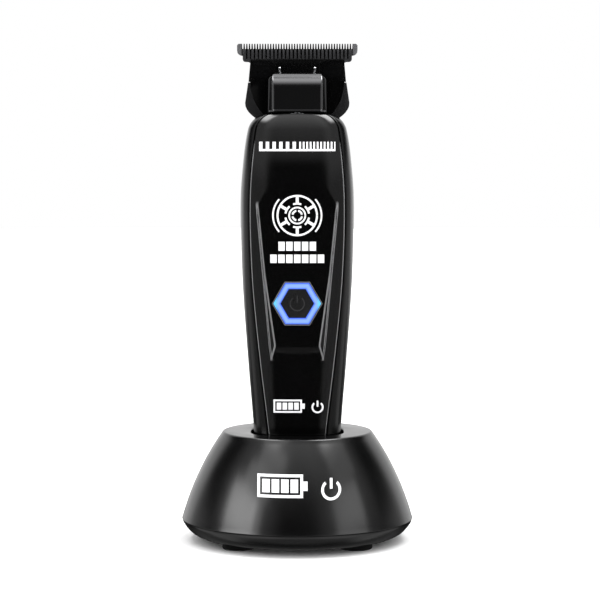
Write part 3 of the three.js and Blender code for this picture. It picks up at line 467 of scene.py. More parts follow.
def rear_shell():
    """Side and rear housing, with a rounded edge along the seam to the front cover."""
    radius = SEAM_RADIUS
    heights = handle_heights(110, 12)
    rings = []
    for z in heights:
        seam = cover_half(z) + SEAM
        a = half_width(z)
        inner = steps(seam - 0.4, seam + radius, 8)
        start = math.asin(min((seam + radius) / a, 0.999))
        outer = [a * math.sin(t) for t in steps(start, math.pi / 2, 16)][1:-1]
        half = []
        for x in steps(0, seam - 0.4, 4)[:-1] + inner + outer:
            sunk = clamp(seam + radius - x, 0, radius)
            half.append((x, front_y(x, z) + radius - math.sqrt(radius**2 - sunk**2)))
        side = []
        for t in steps(math.asin(min(half[-1][0] / a, 1)), math.pi / 2, 8)[1:]:
            x = a * math.sin(t)
            side.append((x, front_y(x, z)))
        rear = form(REAR, z) - TOP_INSET_Y * top_inset(z)
        power = 2 / REAR_POWER
        back = []
        for k in range(1, 49):
            angle = math.pi / 2 * k / 48
            back.append((a * math.cos(angle) ** power, rear * math.sin(angle) ** power))
        right = half + side + back
        ring = [(x, y, z) for x, y in right]
        ring += [(-x, y, z) for x, y in reversed(right[1:-1])]
        rings.append(ring)
    obj = loft("rear_shell", rings)

    # Taken off: the room inside, the front cover's side, the ledge, the holder's neck and the screw bores
    room_heights = [10] + steps(CAP_TOP, 138, 24) + [142.4]
    inside = loft("inside", [section(z, -WALL, 96) for z in room_heights])
    prism = []
    for z in [CAP_TOP - 1] + heights[1:-1] + [HANDLE_TOP + 0.5]:
        x = cover_half(z) + SEAM
        y = COVER_BACK_Y + SEAM
        prism.append([(-x, -30, z), (x, -30, z), (x, y, z), (-x, y, z)])
    ledge = box("ledge", -30, 30, LEDGE_FRONT_Y, 30, LEDGE_Z, 160)
    neck = box("neck", -11.9, 11.9, -4.5, 9.4, 140, 160)
    bores = [peg_y("bore", SCREW_BORE_RADIUS, y, 25, s * x, z) for x, y, z in SCREW_BORES for s in (-1, 1)]
    boolean(obj, "DIFFERENCE", inside, loft("prism", prism), ledge, neck, *bores)
    return tidy(obj, 32)


def dome_curve(inset, count=28):
    """Outline of the base's upper shell as (radius, z), moved inwards by inset."""
    start, end = (BASE_RADIUS - 0.2, SEAM_Z + 0.9), (RIM_RADIUS + 0.35, RIM_Z - 0.9)
    return [(r - inset, z) for r, z in bend(start, (35.6, 24.8), end, count)]


def base_dome():
    """Upper shell of the base, with a rounded rim and the handle's socket."""
    rim_roll, lip_roll = 0.95, 0.5
    under = RIM_Z - BASE_WALL
    rolls = ((0.22, 0.1), (0.06, 0.15), (0.0, 0.3))
    foot = [(BASE_RADIUS - inset, SEAM_Z + up) for inset, up in rolls]
    profile = [(38.1, SEAM_Z + 0.1)] + foot + dome_curve(0)[:-1]
    for k in range(1, 9):
        angle = math.radians(11 + 79 * k / 8)
        radius = RIM_RADIUS - 0.75 + rim_roll * math.cos(angle)
        profile.append((radius, RIM_Z - rim_roll + rim_roll * math.sin(angle)))
    profile += [(20.0, RIM_Z), (10.0, RIM_Z), (0, RIM_Z), (0, under), (24.0, under)]
    profile += [point for point in reversed(dome_curve(BASE_WALL)) if point[1] < under - 0.6]
    obj = turned("base_dome", profile)
    rings = []
    for z in [30, 36.6, 37.6] + steps(RIM_Z - lip_roll, RIM_Z, 5) + [40]:
        rise = clamp(z - (RIM_Z - lip_roll), 0.0, lip_roll)
        flare = lip_roll - math.sqrt(lip_roll**2 - rise**2)
        rings.append(section(z, SOCKET_GAP + flare, 120))
    inlet = rounded(10.4, 4.6, 1.8, 0, INLET_Z)
    slot = loft("slot", [[(x, y, z) for x, z in inlet] for y in (30, 45)])
    boolean(obj, "DIFFERENCE", loft("socket", rings), slot)
    return tidy(obj, 32)


def base_pan():
    """Underside tray: turned, with a fine step at the seam, floor, lip, posts and standoffs."""
    floor, top = PAN_FLOOR_Z, SEAM_Z - 0.06
    side = bend((35.2, floor), (38.4, 3.3), (BASE_RADIUS, SEAM_Z - 0.1), 16)
    side[-1] = (BASE_RADIUS - 0.2, top)
    profile = [(0, floor), (30.0, floor), (34.8, floor)] + side
    profile += [(37.4, top), (37.4, 9.0), (36.4, 9.0), (36.4, floor + PAN_WALL), (0, floor + PAN_WALL)]
    obj = turned("base_pan", profile)
    feet = [(s * FOOT_PLACE, t * FOOT_PLACE) for s in (-1, 1) for t in (-1, 1)]
    standoffs = [(s * STANDOFF_X, 0) for s in (-1, 1)]
    for places, radius, height in ((feet, 4.2, 9.8), (standoffs, 2.2, 6.3)):
        for x, y in places:
            boolean(obj, "UNION", loft("post", [disc(x, y, z, radius, 40) for z in (4.0, height)]))
    for x, y in feet:
        boolean(obj, "DIFFERENCE", loft("bore", [disc(x, y, z, 1.5, 28) for z in (1, 12)]))
        boolean(obj, "DIFFERENCE", loft("seat", [disc(x, y, z, 5.8, 40) for z in (0, 3.2)]))
    for x, y in standoffs:
        boolean(obj, "DIFFERENCE", loft("bore", [disc(x, y, z, 0.9, 28) for z in (1, 12)]))
    return tidy(obj, 32)


def cap_half(y):
    """Half width of the drive cover's cap at depth y."""
    return lerp(8.8, 8.9, (y - DRIVE_FRONT_Y) / (DRIVE_BACK_Y - DRIVE_FRONT_Y))


def cap():
    """The drive cover's raised box: front rolled back at the top, front corners rounded."""
    corner, top_narrowing, top_roll, least_depth = 0.95, 0.9, 3, 0.5
    roll_start = DRIVE_TOP_Z - DRIVE_ROLL
    heights = steps(DRIVE_BOTTOM_Z, roll_start, 14)
    heights += [roll_start + DRIVE_ROLL * math.sin(t) for t in steps(0, math.pi / 2, 20)][1:]
    rows = []
    for z in heights:
        rolled = clamp((z - roll_start) / DRIVE_ROLL, 0, 1)
        y_front = DRIVE_FRONT_Y + DRIVE_ROLL * (1 - math.sqrt(1 - rolled**2))
        y_front = min(y_front, DRIVE_BACK_Y - least_depth)
        near_top = clamp((z - (DRIVE_TOP_Z - top_roll)) / top_roll, 0, 1)
        shrink = top_narrowing * (1 - math.sqrt(1 - near_top**2))
        rounding = corner * (1 - 0.75 * rolled)
        flatter = min(1.0, (DRIVE_BACK_Y - y_front) / 1.2)
        right = []
        for angle in steps(0, math.pi / 2, 8):
            y = y_front + rounding * (1 - math.cos(angle)) * flatter
            right.append((cap_half(y) - shrink - rounding * (1 - math.sin(angle)), y, z))
        for y in steps(right[-1][1], DRIVE_BACK_Y, 6)[1:]:
            right.append((cap_half(y) - shrink, y, z))
        rows.append([(-x, y, z) for x, y, z in reversed(right)] + right)
    return loft("cam_cover", rows)


def cap_lip():
    """The drive cover's lip along its lower edge."""
    rings = []
    for rise, grow in ((0, -0.15), (0.12, 0), (0.68, 0), (0.8, -0.15)):
        plan = rounded(19.8 + 2 * grow, 12 + 2 * grow, 2.2, 0, DRIVE_FRONT_Y + 5.5)
        rings.append([(x, min(y, 0.2), DRIVE_BOTTOM_Z + rise) for x, y in plan])
    return loft("lip", rings)


def cap_skirt():
    """The plate behind the drive cover's cap, with round upper corners and an eased front edge."""
    half, corner = 10.2, 1.55
    rings = []
    for y, inset in ((-0.5, 0.25), (-0.42, 0.08), (-0.25, 0.0), (4.85, 0.0)):
        radius = corner - inset
        outline = [(-half + inset, DRIVE_BOTTOM_Z), (half - inset, DRIVE_BOTTOM_Z)]
        for angle in steps(0, math.pi / 2, 10):
            z = DRIVE_SKIRT_TOP_Z - corner + radius * math.sin(angle)
            outline.append((8.5 + radius * math.cos(angle), z))
        outline += [(-x, z) for x, z in reversed(outline[2:])]
        rings.append([(x, y, z) for x, z in outline])
    return loft("plate", rings)


def cam_cover():
    """The shiny cover in front of the cam: a raised box with sloping sides, on a lip and a skirt."""
    obj = cap()
    boolean(obj, "UNION", cap_lip(), cap_skirt())
    low, front_room, rear_room = 149, 6.7, 9.3
    rooms = [
        box("room", -front_room, front_room, DRIVE_FRONT_Y + 1.4, 0.6, low, 159.6),
        box("upper_room", -front_room, front_room, -3.9, 0.6, low, 161.9),
        box("rear", -rear_room, rear_room, 0.5, 7, low, 170),
    ]
    boolean(obj, "DIFFERENCE", *rooms)
    return tidy(obj, 30)


def contact_spring(name, x):
    """Coil spring under a charging contact."""
    radius, wire, top, turns = 0.9, 0.18, 9.75, 3
    rings = []
    for t in steps(0, 1, 32 * turns):
        angle = 2 * math.pi * turns * t
        z = lerp(SPRING_FOOT_Z + wire, top - wire, t)
        ring = []
        for around in steps(0, 2 * math.pi, 12)[:-1]:
            reach = radius + wire * math.cos(around)
            ring.append((x + reach * math.cos(angle), reach * math.sin(angle), z + wire * math.sin(around)))
        rings.append(ring)
    return tidy(loft(name, rings))


# ------------ materials


class Nodes:
    """A short way to build shader nodes."""

    def __init__(self, tree, clear=True):
        self.tree = tree
        if clear:
            tree.nodes.clear()

    def add(self, kind, inputs=None, **settings):
        """A node with its settings; an input is a value, or a socket that is linked."""
        node = self.tree.nodes.new(kind)
        for key, value in settings.items():
            setattr(node, key, value)
        for key, value in (inputs or {}).items():
            socket = node.inputs[key]
            if isinstance(value, bpy.types.NodeSocket):
                self.tree.links.new(value, socket)
            else:
                socket.default_value = value
        return node

    def link(self, source, shader, socket):
        self.tree.links.new(source, shader.inputs[socket])

    def math(self, operation, a, b=0.0, c=0.0):
        return self.add("ShaderNodeMath", {0: a, 1: b, 2: c}, operation=operation).outputs[0]

    def ramp(self, value, low, high, to_low=0.0, to_high=1.0, kind="SMOOTHSTEP"):
        inputs = {"Value": value, "From Min": low, "From Max": high, "To Min": to_low, "To Max": to_high}
        return self.add("ShaderNodeMapRange", inputs, interpolation_type=kind).outputs["Result"]

    def noise(self, scale, detail=3.0, roughness=0.5, vector=None):
        if vector is None:
            vector = self.add("ShaderNodeTexCoord").outputs["Object"]
        inputs = {"Scale": scale, "Detail": detail, "Roughness": roughness, "Vector": vector}
        return self.add("ShaderNodeTexNoise", inputs).outputs["Fac"]

    def position(self):
        """x, y and z on the piece, in metres."""
        point = self.add("ShaderNodeTexCoord").outputs["Object"]
        return self.add("ShaderNodeSeparateXYZ", {0: point}).outputs

    def mix(self, share, a, b):
        """From colour a to colour b."""
        return self.add("ShaderNodeMix", {0: share, 6: a, 7: b}, data_type="RGBA").outputs[2]


def new_material(name, **settings):
    """A material with a principled shader; returns the material, its nodes and the shader."""
    material = bpy.data.materials.new(name)
    material.use_nodes = True
    nodes = Nodes(material.node_tree)
    shader = nodes.add("ShaderNodeBsdfPrincipled", settings)
    nodes.add("ShaderNodeOutputMaterial", {"Surface": shader.outputs[0]})
    return material, nodes, shader


def shade(color, share):
    """The colour, darker or lighter, with alpha 1."""
    return [c * share for c in color] + [1]


def surface(
    name, color, roughness, metallic=0.0, grain=0.0, grain_scale=900.0, spread=0.0, vary=0.15, specular=0.5
):
    """A procedural material: fine grain bump, uneven roughness and a slight change of colour.

    grain is the depth of the bump in mm, spread the change in roughness, vary the change in colour.
    """
    material, nodes, shader = new_material(name, Metallic=metallic)
    shader.inputs["Specular IOR Level"].default_value = specular
    broad = nodes.noise(60.0, 2.0)
    fine = nodes.noise(grain_scale, 2.0, 0.6)
    nodes.link(nodes.mix(broad, shade(color, 1 - vary), shade(color, 1 + vary)), shader, "Base Color")
    both = nodes.math("ADD", nodes.math("MULTIPLY", broad, 0.6), nodes.math("MULTIPLY", fine, 0.4))
    low, high = max(roughness - spread, 0.02), roughness + spread
    nodes.link(nodes.ramp(both, 0.35, 0.65, low, high, "LINEAR"), shader, "Roughness")
    if grain:
        bump = nodes.add("ShaderNodeBump", {"Height": fine, "Distance": grain * MM, "Strength": 1.0})
        nodes.link(bump.outputs[0], shader, "Normal")
    return material


def brushed(name, color, roughness, axis, depth=0.004, metallic=1.0):
    """Steel with fine lines along one axis (0, 1 or 2)."""
    material, nodes, shader = new_material(name, Metallic=metallic)
    coordinates = nodes.add("ShaderNodeTexCoord").outputs["Object"]
    scale = [2500.0] * 3
    scale[axis] = 60.0
    stretched = nodes.add("ShaderNodeMapping", {"Vector": coordinates, "Scale": scale}).outputs[0]
    lines = nodes.noise(1.0, 3.0, 0.6, stretched)
    broad = nodes.noise(80.0, 2.0)
    nodes.link(nodes.mix(lines, shade(color, 0.8), shade(color, 1.15)), shader, "Base Color")
    both = nodes.math("ADD", nodes.math("MULTIPLY", lines, 0.7), nodes.math("MULTIPLY", broad, 0.3))
    uneven = nodes.ramp(both, 0.3, 0.7, roughness * 0.8, roughness * 1.25, "LINEAR")
    nodes.link(uneven, shader, "Roughness")
    bump = nodes.add("ShaderNodeBump", {"Height": lines, "Distance": depth * MM})
    nodes.link(bump.outputs[0], shader, "Normal")
    return material


def hexagon_reach(nodes):
    """Distance from the button's centre across the hexagon's flats, and the distance sideways."""
    position = nodes.position()
    x = nodes.math("ABSOLUTE", position[0])
    z = nodes.math("ABSOLUTE", nodes.math("SUBTRACT", position[2], BUTTON_Z * MM))
    slanted = nodes.math("ADD", nodes.math("MULTIPLY", x, FLAT_SHARE), nodes.math("MULTIPLY", z, 0.5))
    return nodes.math("MAXIMUM", slanted, z), x


def light_guide():
    """The lit hexagon: pale blue in the middle of its width, deeper at its edges, cyan at its tips."""
    settings = {"Base Color": (0.05, 0.1, 0.3, 1), "Roughness": 0.25, "Emission Strength": 1.0}
    material, nodes, shader = new_material("light_guide", **settings)
    middle, edge, tip = (0.23, 0.36, 1.0, 1), (0.03, 0.09, 0.75, 1), (0.10, 0.62, 1.0, 1)
    inner, outer = RING_INNER_RADIUS * FLAT_SHARE * MM, RING_OUTER_RADIUS * FLAT_SHARE * MM
    centre, half = (inner + outer) / 2, (outer - inner) / 2
    reach, x = hexagon_reach(nodes)
    off = nodes.math("DIVIDE", nodes.math("ABSOLUTE", nodes.math("SUBTRACT", reach, centre)), half)
    grain = nodes.math("MULTIPLY", nodes.noise(500.0), 0.12)
    fade = nodes.ramp(nodes.math("ADD", off, grain), 0.35, 1.0)
    blue = nodes.mix(fade, middle, edge)
    nodes.link(nodes.mix(nodes.ramp(x, 6.3 * MM, 7.8 * MM), blue, tip), shader, "Emission Color")
    return material


def beyond(nodes, axis, low, high):
    """0 below low and 1 above high in mm, along y, z or, for axis 0, to either side."""
    value = nodes.position()[axis]
    if axis == 0:
        value = nodes.math("ABSOLUTE", value)
    return nodes.ramp(value, low * MM, high * MM)


def blend_look(material, mask, color, rough=None, metallic=None):
    """Mixes another colour, and if given another roughness and metallic value, in where the mask is 1."""
    nodes = Nodes(material.node_tree, clear=False)
    shader = next(n for n in nodes.tree.nodes if n.type == "BSDF_PRINCIPLED")
    share = mask(nodes)
    base = shader.inputs["Base Color"].links[0].from_socket
    nodes.link(nodes.mix(share, base, (*color, 1)), shader, "Base Color")
    if rough is not None:
        old = shader.inputs["Roughness"].links[0].from_socket
        blend = nodes.add("ShaderNodeMix", {0: share, 2: old, 3: rough}, data_type="FLOAT")
        nodes.link(blend.outputs[0], shader, "Roughness")
    if metallic is not None:
        plain = shader.inputs["Metallic"].default_value
        nodes.link(nodes.ramp(share, 0.0, 1.0, plain, metallic, "LINEAR"), shader, "Metallic")
    return material


def holder_paint_with_pocket_shade():
    """Painted casting: satin on its front face, with painted shade in its pockets: darker and duller there,
    where shade falls.
    """
    black = (0.0105, 0.0105, 0.0112)
    paint = surface("black_metal", black, 0.32, grain=0.006, grain_scale=2400, spread=0.06)
    # painted shade: a near-black colour where y lies beyond 2.3 to 3.2 mm, behind the front face
    return blend_look(paint, lambda nodes: beyond(nodes, 1, 2.3, 3.2), (0.0006, 0.0006, 0.0007), 0.2)


def bezel_with_painted_highlight():
    """Black bezel with a painted highlight: a pale line along its outer edge."""
    paint = surface("bezel_black", (0.002, 0.002, 0.002), 0.3, grain=0.004, grain_scale=2400, spread=0.06)

    # painted highlight: a pale grey line along the bezel's outer edge
    def rim(nodes):
        return nodes.ramp(hexagon_reach(nodes)[0], 7.26 * MM, 7.32 * MM)

    return blend_look(paint, rim, (0.16, 0.16, 0.165))


def blade_steel():
    """Black coated blade steel, grey at the ends of the comb."""
    steel = brushed("black_steel", (0.02, 0.02, 0.021), 0.3, 0, 0.003, 0.9)
    grey_ends = (0.105, 0.105, 0.11)
    # grey beyond 19.15 mm to either side, at the ends of the comb
    return blend_look(steel, lambda nodes: beyond(nodes, 0, 19.15, 19.7), grey_ends, metallic=0.15)


def cutter_steel():
    """Black cutter: its teeth lighter grey, partly from grinding and partly painted highlight, and its
    corners lighter as a painted highlight.
    """
    steel = brushed("cutter_steel", (0.004, 0.004, 0.0042), 0.32, 0, 0.003, 0.2)

    # lighter above 168.15 mm (teeth: grinding plus painted highlight) and beyond 16.2 mm to either side
    # (corners: painted highlight)
    def ground_teeth_and_painted_highlight(nodes):
        teeth = beyond(nodes, 2, 168.15, 168.5)
        return nodes.math("MAXIMUM", teeth, beyond(nodes, 0, 16.2, 16.7))

    return blend_look(steel, ground_teeth_and_painted_highlight, (0.027, 0.027, 0.029))


def circuit_board():
    """Green solder mask with paler tracks."""
    material = surface("circuit_board", (0.01, 0.09, 0.03), 0.35, grain=0.01, spread=0.08, vary=0.35)
    nodes = Nodes(material.node_tree, clear=False)
    inputs = {
        "Scale": 260.0,
        "Color1": (0.01, 0.09, 0.03, 1),
        "Color2": (0.008, 0.07, 0.025, 1),
        "Mortar": (0.03, 0.2, 0.07, 1),
        "Vector": nodes.add("ShaderNodeTexCoord").outputs["Object"],
    }
    tracks = nodes.add("ShaderNodeTexBrick", inputs)
    shader = next(n for n in nodes.tree.nodes if n.type == "BSDF_PRINCIPLED")
    nodes.link(tracks.outputs["Color"], shader, "Base Color")
    return material


def panel_gloss():
    """Piano black, with painted highlights: bright metallic grey where the mesh attribute "edge" is 1."""
    black = (0.0011, 0.0011, 0.0012)
    gloss = surface("panel_gloss", black, 0.11, grain=0.0012, grain_scale=700, spread=0.03, specular=0.65)

    def edge(nodes):
        return nodes.add("ShaderNodeAttribute", attribute_name="edge").outputs["Fac"]

    # painted highlight: bright metallic grey lines along the seam and the recess crests
    return blend_look(gloss, edge, (0.55, 0.55, 0.56), 0.2, 1.0)


# Plain looks: colour, roughness, and the other values of surface()
PAINTS = {
    "black_chrome": (
        (0.21, 0.21, 0.215), 0.16, dict(metallic=1.0, grain=0.001, spread=0.03, vary=0.05)
    ),
    "button_black": ((0.0085, 0.0085, 0.009), 0.3, dict(grain=0.004, grain_scale=2000, spread=0.05)),
    "print_faint": ((0.03, 0.03, 0.032), 0.35, dict(grain=0.002, grain_scale=2000, spread=0.05)),
    "satin_black": ((0.0013, 0.0013, 0.0014), 0.2, dict(grain=0.004, grain_scale=2600, spread=0.04)),
    "matte_black": ((0.008, 0.008, 0.0085), 0.5, dict(grain=0.012, grain_scale=2200, spread=0.08)),
    "rubber_black": (
        (0.002, 0.002, 0.002), 0.72, dict(grain=0.02, grain_scale=1800, spread=0.08, specular=0.2)
    ),
    "contact_gold": ((0.75, 0.5, 0.16), 0.22, dict(metallic=1.0, grain=0.003, spread=0.06, vary=0.1)),
    "copper_winding": (
        (0.45, 0.16, 0.06), 0.3, dict(metallic=1.0, grain=0.05, grain_scale=1200, spread=0.1, vary=0.3)
    ),
    "print_white": (
        (0.82, 0.82, 0.84), 0.45, dict(grain=0.004, grain_scale=3000, spread=0.08, vary=0.04)
    ),
    "cell_wrap": (
        (0.02, 0.1, 0.36), 0.3, dict(grain=0.006, grain_scale=500, spread=0.08, vary=0.12)
    ),
}
LOOKS = {name: surface(name, color, rough, **more) for name, (color, rough, more) in PAINTS.items()}
LOOKS.update(
    panel_gloss=panel_gloss(),
    black_metal=holder_paint_with_pocket_shade(),
    bezel_black=bezel_with_painted_highlight(),
    black_steel=blade_steel(),
    cutter_steel=cutter_steel(),
    steel=brushed("steel", (0.5, 0.51, 0.53), 0.28, 0),
    spring_steel=brushed("spring_steel", (0.6, 0.61, 0.63), 0.16, 2, 0.002),
    light_blue=light_guide(),
    circuit_board=circuit_board(),
)


def smooth_group():
    """Geometry nodes that shade smooth across edges flatter than 30 degrees."""
    group = bpy.data.node_groups.new("smooth_by_angle", "GeometryNodeTree")
    group.interface.new_socket("Geometry", in_out="INPUT", socket_type="NodeSocketGeometry")
    group.interface.new_socket("Geometry", in_out="OUTPUT", socket_type="NodeSocketGeometry")
    nodes, links = group.nodes, group.links
    start, end = nodes.new("NodeGroupInput"), nodes.new("NodeGroupOutput")
    faces, edges = nodes.new("GeometryNodeSetShadeSmooth"), nodes.new("GeometryNodeSetShadeSmooth")
    edges.domain = "EDGE"
    angle, flat = nodes.new("GeometryNodeInputMeshEdgeAngle"), nodes.new("FunctionNodeCompare")
    flat.operation = "LESS_THAN"
    flat.inputs["B"].default_value = math.radians(30)
    links.new(angle.outputs["Unsigned Angle"], flat.inputs["A"])
    links.new(start.outputs[0], faces.inputs["Geometry"])
    links.new(faces.outputs[0], edges.inputs["Geometry"])
    links.new(flat.outputs[0], edges.inputs["Shade Smooth"])
    links.new(edges.outputs[0], end.inputs[0])
    return group


SMOOTH = smooth_group()


def dress(obj, look, bevel=0.0):
    """Gives a piece its material, and a CAD node also welded corners, a small bevel and smooth shading."""
    obj.data.materials.clear()
    obj.data.materials.append(LOOKS[look])
    if "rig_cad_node" in obj:
        weld = obj.modifiers.new("weld", "WELD")
        weld.merge_threshold = 1e-6
        if bevel:
            rounding = obj.modifiers.new("bevel", "BEVEL")
            rounding.width = bevel * MM
            rounding.segments = 2
            rounding.limit_method = "ANGLE"
            rounding.angle_limit = math.radians(35)
        obj.modifiers.new("smooth", "NODES").node_group = SMOOTH


def place(obj, body, look, *nodes):
    """A finished piece: material, slot, body and the CAD nodes it stands for."""
    dress(obj, look)
    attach(obj, body)
    if nodes:
        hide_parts(*nodes)
    return obj


# ------------ printed marks


def patch(shape, count_u, count_v):
    """Grid of (x, z) points over shape(u, v), with u and v from 0 to 1."""
    return [[shape(u, v) for u in steps(0, 1, count_u)] for v in steps(0, 1, count_v)]


def cells(length):
    """How many grid cells of ink a length gets."""
    return max(1, round(abs(length) / 0.8))


def bar(x0, x1, z0, z1):
    """An upright rectangle of ink."""

    def shape(u, v):
        return (lerp(x0, x1, u), lerp(z0, z1, v))

    return patch(shape, cells(x1 - x0), cells(z1 - z0))


def stroke(ax, az, bx, bz, width):
    """A straight line of ink."""
    length = math.hypot(bx - ax, bz - az)
    nx, nz = -(bz - az) / length * width / 2, (bx - ax) / length * width / 2

    def shape(u, v):
        x, z = lerp(ax, bx, u), lerp(az, bz, u)
        return (x + nx * (2 * v - 1), z + nz * (2 * v - 1))

    return patch(shape, cells(length), 1)


def arc(cx, cz, inner, outer, start=0.0, end=360.0):
    """A piece of a ring of ink, from start to end degrees."""

    def shape(u, v):
        angle = math.radians(lerp(start, end, u))
        radius = lerp(inner, outer, v)
        return (cx + radius * math.cos(angle), cz + radius * math.sin(angle))

    return patch(shape, max(10, round(abs(end - start) * outer / 40)), 2)


def print_mark(name, grids, skin, body, look="print_white"):
    """Ink as thin closed solids that follow the skin y = skin(x, z)."""
    points, faces = [], []
    for grid in grids:
        rows, columns = len(grid), len(grid[0])
        start = len(points)
        for lift in (-INK_ABOVE, INK_BELOW):
            for row in grid:
                points += [(x, skin(x, z) + lift, z) for x, z in row]
        size = rows * columns
        for r in range(rows - 1):
            for c in range(columns - 1):
                a = start + r * columns + c
                quad = (a, a + 1, a + 1 + columns, a + columns)
                faces.append(quad)
                faces.append(tuple(reversed([i + size for i in quad])))
        rim = [(0, c) for c in range(columns)] + [(r, columns - 1) for r in range(1, rows)]
        rim += [(rows - 1, c) for c in range(columns - 2, -1, -1)] + [(r, 0) for r in range(rows - 2, 0, -1)]
        for (r0, c0), (r1, c1) in zip(rim, rim[1:] + rim[:1]):
            a, b = start + r0 * columns + c0, start + r1 * columns + c1
            faces.append((b, a, a + size, b + size))
    obj = mesh_object(name, points, faces)
    tidy(obj, 40, merge=0.002)
    return place(obj, body, look)


def comb_scale():
    """A row of comb teeth, heavy on the left and light on the right."""
    half, low, root, tip = 13.1, 136.4, 137.1, 139.6
    grids = [bar(-half, half, low, root)]
    x = -half
    while x < half - 0.3:
        width = 1.15 if x < 0 else 0.6
        grids.append(bar(x, min(x + width, half), root, tip))
        x += 2 * width
    return grids


def motor_sign():
    """A brushless motor seen from its end: ring, six poles with shoes, and a rotor with magnets."""
    cx, cz = 0.0, 114.4
    grids = [arc(cx, cz, 6.45, 7.1)]
    for degrees in range(30, 390, 60):
        c, s = math.cos(math.radians(degrees)), math.sin(math.radians(degrees))
        grids.append(stroke(cx + 4.3 * c, cz + 4.3 * s, cx + 6.6 * c, cz + 6.6 * s, 1.0))
        grids.append(arc(cx, cz, 3.75, 4.4, degrees - 20, degrees + 20))
    grids.append(arc(cx, cz, 2.5, 3.05))
    for k in range(4):
        grids.append(arc(cx, cz, 1.3, 1.95, 90 * k + 12, 90 * k + 78))
    for middle in (180, 0):
        grids.append(arc(cx, cz, 8.05, 8.6, middle - 42, middle + 42))
    return grids


def level_bars():
    """Two rows of level blocks."""
    grids = []
    for z0, z1, half, count in ((102.3, 105.4, 6.7, 5), (98.1, 101.0, 9.5, 7)):
        pitch = 2 * half / count
        for k in range(count):
            x = -half + k * pitch
            grids.append(bar(x + 0.25, x + pitch - 0.25, z0, z1))
    return grids


def battery_sign(x0, x1, z0, z1, w):
    """A battery with four filled cells, drawn in lines of width w."""
    count = 4
    body = x1 - 0.09 * (x1 - x0)
    grids = [bar(x0, body, z0, z0 + w), bar(x0, body, z1 - w, z1)]
    grids += [bar(x0, x0 + w, z0 + w, z1 - w), bar(body - w, body, z0 + w, z1 - w)]
    middle, quarter = (z0 + z1) / 2, (z1 - z0) / 5
    grids.append(bar(body, x1, middle - quarter, middle + quarter))
    room = body - x0 - 3 * w
    for k in range(count):
        left = x0 + 1.5 * w + room * k / count
        grids.append(bar(left + 0.35 * w, left + room / count - 0.35 * w, z0 + 1.8 * w, z1 - 1.8 * w))
    return grids


def power_sign(cx, cz, radius, width):
    """An open ring with a bar in its gap."""
    ring = arc(cx, cz, radius - width, radius, 130, 410)
    return [ring, bar(cx - width / 2, cx + width / 2, cz + 0.1 * radius, cz + 1.1 * radius)]


def dome_y(x, z):
    """y of the base's front skin."""
    points = dome_curve(0, 60)
    (r0, z0), (r1, z1) = next(pair for pair in zip(points, points[1:]) if pair[0][1] <= z <= pair[1][1])
    radius = lerp(r0, r1, (z - z0) / (z1 - z0))
    return -math.sqrt(radius * radius - x * x)


# ------------ studio

CAMERA_X = 0.95
CAMERA_Y = -840.0
CAMERA_Z = 146.0
CAMERA_AIM_Z = 84.25


def camera():
    """A long lens a little above the object, as in the photo."""
    data = bpy.data.cameras.new("camera")
    data.sensor_width = 36.0
    data.lens = 144.4
    data.clip_start = 0.01
    data.clip_end = 20.0
    obj = bpy.data.objects.new("camera", data)
    obj.location = Vector((CAMERA_X, CAMERA_Y, CAMERA_Z)) * MM
    aim = Vector((CAMERA_X, 0.0, CAMERA_AIM_Z)) * MM
    obj.rotation_euler = (aim - obj.location).to_track_quat("-Z", "Y").to_euler()
    bpy.context.scene.collection.objects.link(obj)
    bpy.context.scene.camera = obj


# What the glossy surfaces see. Each row: azimuth from the front in degrees (+ to the right) from, to and
# the width of its soft edge, the same for the elevation, and the brightness.
SOFT_BOXES = [
    (-96, -24, 24, 22, 95, 20, 0.45),
    (24, 96, 24, 22, 95, 20, 0.45),
    (-32, 32, 30, 48, 95, 42, 1.25),
    (-150, -40, 24, 58, 76, 12, 7.6),
    (52, 150, 24, 56, 80, 12, 9.0),
]
# The same for glows that are alike on the left and right: behind the object, at its flanks, at its sides.
GLOWS = [
    (130, 200, 16, -6, 100, 6, 1.0),
    (98, 128, 8, -60, 12, 12, 0.45),
    (24, 96, 12, -60, 24, 16, 0.25),
]
FRONT_GLOW = 0.03
FLOOR_GLOW = 0.22
SHADOW_LIGHT = 1.4  # what the floor and the prints see


def window(nodes, value, low, high, edge):
    """1 between low and high and 0 outside, with soft edges."""
    rise = nodes.ramp(value, low - edge / 2, low + edge / 2)
    fall = nodes.ramp(value, high - edge / 2, high + edge / 2, 1.0, 0.0)
    return nodes.math("MULTIPLY", rise, fall)


def studio_light(nodes):
    """Brightness of the studio in each direction."""
    direction = nodes.add("ShaderNodeTexCoord").outputs["Generated"]
    x, y, z = nodes.add("ShaderNodeSeparateXYZ", {0: direction}).outputs
    to_degrees = 180 / math.pi
    turn = nodes.math("ARCTAN2", x, nodes.math("MULTIPLY", y, -1.0))
    azimuth = nodes.math("MULTIPLY", turn, to_degrees)
    elevation = nodes.math("MULTIPLY", nodes.math("ARCSINE", z), to_degrees)
    away = nodes.math("ABSOLUTE", azimuth)
    horizon = nodes.ramp(elevation, -35, -20, 1.0, 0.0)
    below = nodes.math("MULTIPLY", horizon, nodes.ramp(elevation, -75, -45, 0.4, 1.0))
    below = nodes.math("MULTIPLY", below, nodes.ramp(away, 60, 120, 3.3, 0.5))
    total = nodes.math("ADD", nodes.math("MULTIPLY", below, FLOOR_GLOW), FRONT_GLOW)
    for angle, rows in ((away, GLOWS), (azimuth, SOFT_BOXES)):
        for a0, a1, a_edge, e0, e1, e_edge, brightness in rows:
            across = window(nodes, angle, a0, a1, a_edge)
            part = nodes.math("MULTIPLY", across, window(nodes, elevation, e0, e1, e_edge))
            total = nodes.math("ADD", total, nodes.math("MULTIPLY", part, brightness))
    return total


